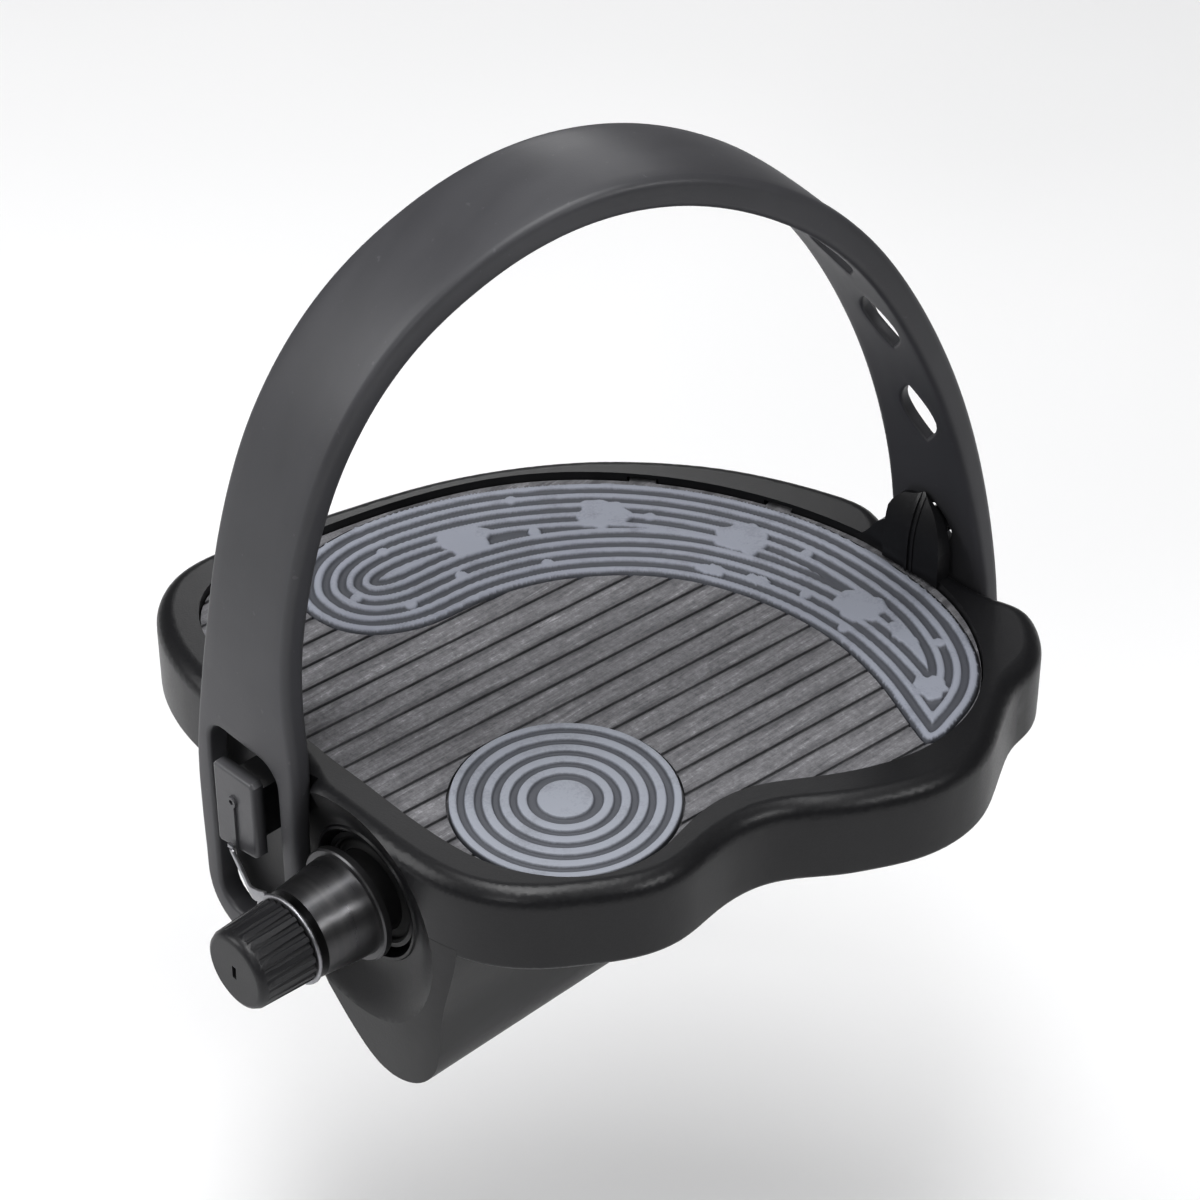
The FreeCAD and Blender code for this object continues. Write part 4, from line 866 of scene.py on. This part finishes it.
stands_for(spindle_tag(), "spindle_tag", "platform")
stands_for(turned("dust_seal_lipped", [
    (16.4, 10.37), (16.4, 10.05), (16.55, 9.85), (17.1, 9.7), (17.2, 9.5), (17.15, 9.1), (16.9, 8.6), (16.5, 8.25), (16.42, 8.0),
    (16.6, 7.96), (17.0, 8.05), (17.4, 8.35), (17.7, 8.8), (17.9, 9.3), (18.0, 9.8), (18.0, 10.37)], seal_recess_shade_mat), "dust_seal", "platform")
toe = toe_pad()
stands_for(toe, "toe_pad", "platform")
ball = ball_pad()
stands_for(ball, "ball_pad", "platform")
stands_for(strap(), "foot_strap", "platform")

refined("pedal_body", "pedal_body_shell", body_mat, "platform", 34.0)
refined("tread_plate", "tread_deck", deck_mat, "platform", 30.0)
spin = refined("spindle", "spindle_turned", collar_mat, "spindle_assembly", 30.0)


def spindle_thread():
    """Half inch by 20 thread: the end is turned down to the root and a helical ridge runs on it."""
    root, crest, pitch, x0, x1 = 5.72, 6.33, 1.27, -9.75, -0.75
    for v in spin.data.vertices:
        r = math.hypot(v.co.y, v.co.z) / MM
        if v.co.x < 0.0001 and abs(r - 6.35) < 0.03:
            v.co.y *= root / r
            v.co.z *= root / r
    spin.data.shade_smooth()
    spin.data.normals_split_custom_set(region_normals(spin.data, 30.0).tolist())
    turns = (x1 - x0) / pitch
    n = int(turns * 64)
    V, F = [], []
    for k in range(n + 1):
        u = k / n
        a = 2 * math.pi * turns * u
        x = x0 + (x1 - x0) * u
        grow = min(1.0, u * turns / 0.8, (1 - u) * turns / 0.5)
        h = root - 0.06 + (crest - root + 0.06) * max(grow, 0.05)
        for dx, r in ((-0.56, root - 0.12), (-0.09, h), (0.09, h), (0.56, root - 0.12)):
            V.append(((x + dx) * MM, r * math.cos(a) * MM, r * math.sin(a) * MM))
    for k in range(n):
        for j in range(4):
            a, b = 4 * k + j, 4 * k + (j + 1) % 4
            F.append((a, b, b + 4, a + 4))
    F.append((3, 2, 1, 0))
    F.append((4 * n, 4 * n + 1, 4 * n + 2, 4 * n + 3))
    o = new_object("spindle_thread_ridge", V, F, collar_mat, angle=40.0)
    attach(o, "spindle_assembly")
    return o


spindle_thread()
refined("thread_cap", "thread_cap_ribbed", cap_mat, "cap", 40.0)

for n, m, body in (("inner_bearing_cup", race_mat, "platform"), ("inner_bearing_balls", ballst_mat, "platform"),
                   ("inner_ball_retainer", cage_mat, "platform"), ("outer_bearing_cup", race_mat, "platform"),
                   ("outer_bearing_balls", ballst_mat, "platform"), ("outer_ball_retainer", cage_mat, "platform"),
                   ("outer_cone", race_mat, "spindle_assembly"), ("lock_washer", plate_mat, "spindle_assembly"),
                   ("lock_nut", plate_mat, "spindle_assembly"), ("end_cap", plug_mat, "platform"), ("counterweight", cast_mat, "platform")):
    refined(n, n + "_finish", m, body, 40.0)

# ----------------------------------------------------------- stage and light

fl = bpy.data.meshes.new("floor")
fl.from_pydata([(-6, -6, 0), (6, -6, 0), (6, 6, 0), (-6, 6, 0)], [], [(0, 1, 2, 3)])
floor = bpy.data.objects.new("floor", fl)
floor.location = (0, 0, -0.150)
bpy.context.scene.collection.objects.link(floor)
fm = Mat("pale_floor")
fm.colour(fm.mix(fm.span(fm.noise(3.0, 2.0), 0.3, 0.7, 0.0, 1.0), (0.86, 0.86, 0.865), (0.90, 0.90, 0.905)))
fm.rough(fm.span(fm.noise(14.0, 3.0), 0.3, 0.7, 0.80, 0.90))
fl.materials.append(fm.m)


def area(name, loc, aim, size, power, colour=(1, 1, 1)):
    d = bpy.data.lights.new(name, "AREA")
    d.shape = "RECTANGLE"
    d.size, d.size_y = size
    d.energy = power
    d.color = colour
    o = bpy.data.objects.new(name, d)
    o.location = loc
    o.rotation_euler = (Vector(aim) - Vector(loc)).to_track_quat("-Z", "Y").to_euler()
    bpy.context.scene.collection.objects.link(o)
    return o


MID = (0.07, 0.0, 0.03)
area("ceiling_panel", (0.05, 0.05, 5.0), (0.05, 0.0501, 0.0), (10.0, 10.0), 90.0)
area("top_softbox", (0.02, 0.06, 1.15), MID, (0.45, 0.45), 5.8)
area("edge_softbox", (-0.24, -0.26, 1.08), MID, (0.28, 0.28), 3.4)
area("left_softbox", (-0.80, 0.62, 0.56), MID, (0.55, 0.75), 6.4)
area("right_softbox", (0.20, -1.05, 0.85), MID, (0.45, 0.16), 4.2)
area("front_softbox", (-0.85, -0.50, 0.62), MID, (0.16, 0.22), 1.4)
area("back_softbox", (0.75, 0.85, 0.70), MID, (0.40, 0.30), 2.0)

w = bpy.data.worlds.new("studio")
w.use_nodes = True
w.node_tree.nodes["Background"].inputs["Color"].default_value = (1.0, 1.0, 1.0, 1)
w.node_tree.nodes["Background"].inputs["Strength"].default_value = 0.17
bpy.context.scene.world = w
bpy.context.scene.view_settings.view_transform = "Standard"
bpy.context.scene.view_settings.gamma = 0.82

# ------------------------------------------------------------------- camera

el, az, dist = math.radians(38.3), math.radians(47.0), 0.680
tgt = Vector((0.084, 0.0144, 0.0192))
off = Vector((-math.cos(az) * math.cos(el), -math.sin(az) * math.cos(el), math.sin(el)))
cam = bpy.data.cameras.new("camera")
cam.sensor_width = 36.0
cam.lens = 112.0
co = bpy.data.objects.new("camera", cam)
co.location = tgt + off * dist
co.rotation_euler = (-off).to_track_quat("-Z", "Y").to_euler()
bpy.context.scene.collection.objects.link(co)
bpy.context.scene.camera = co
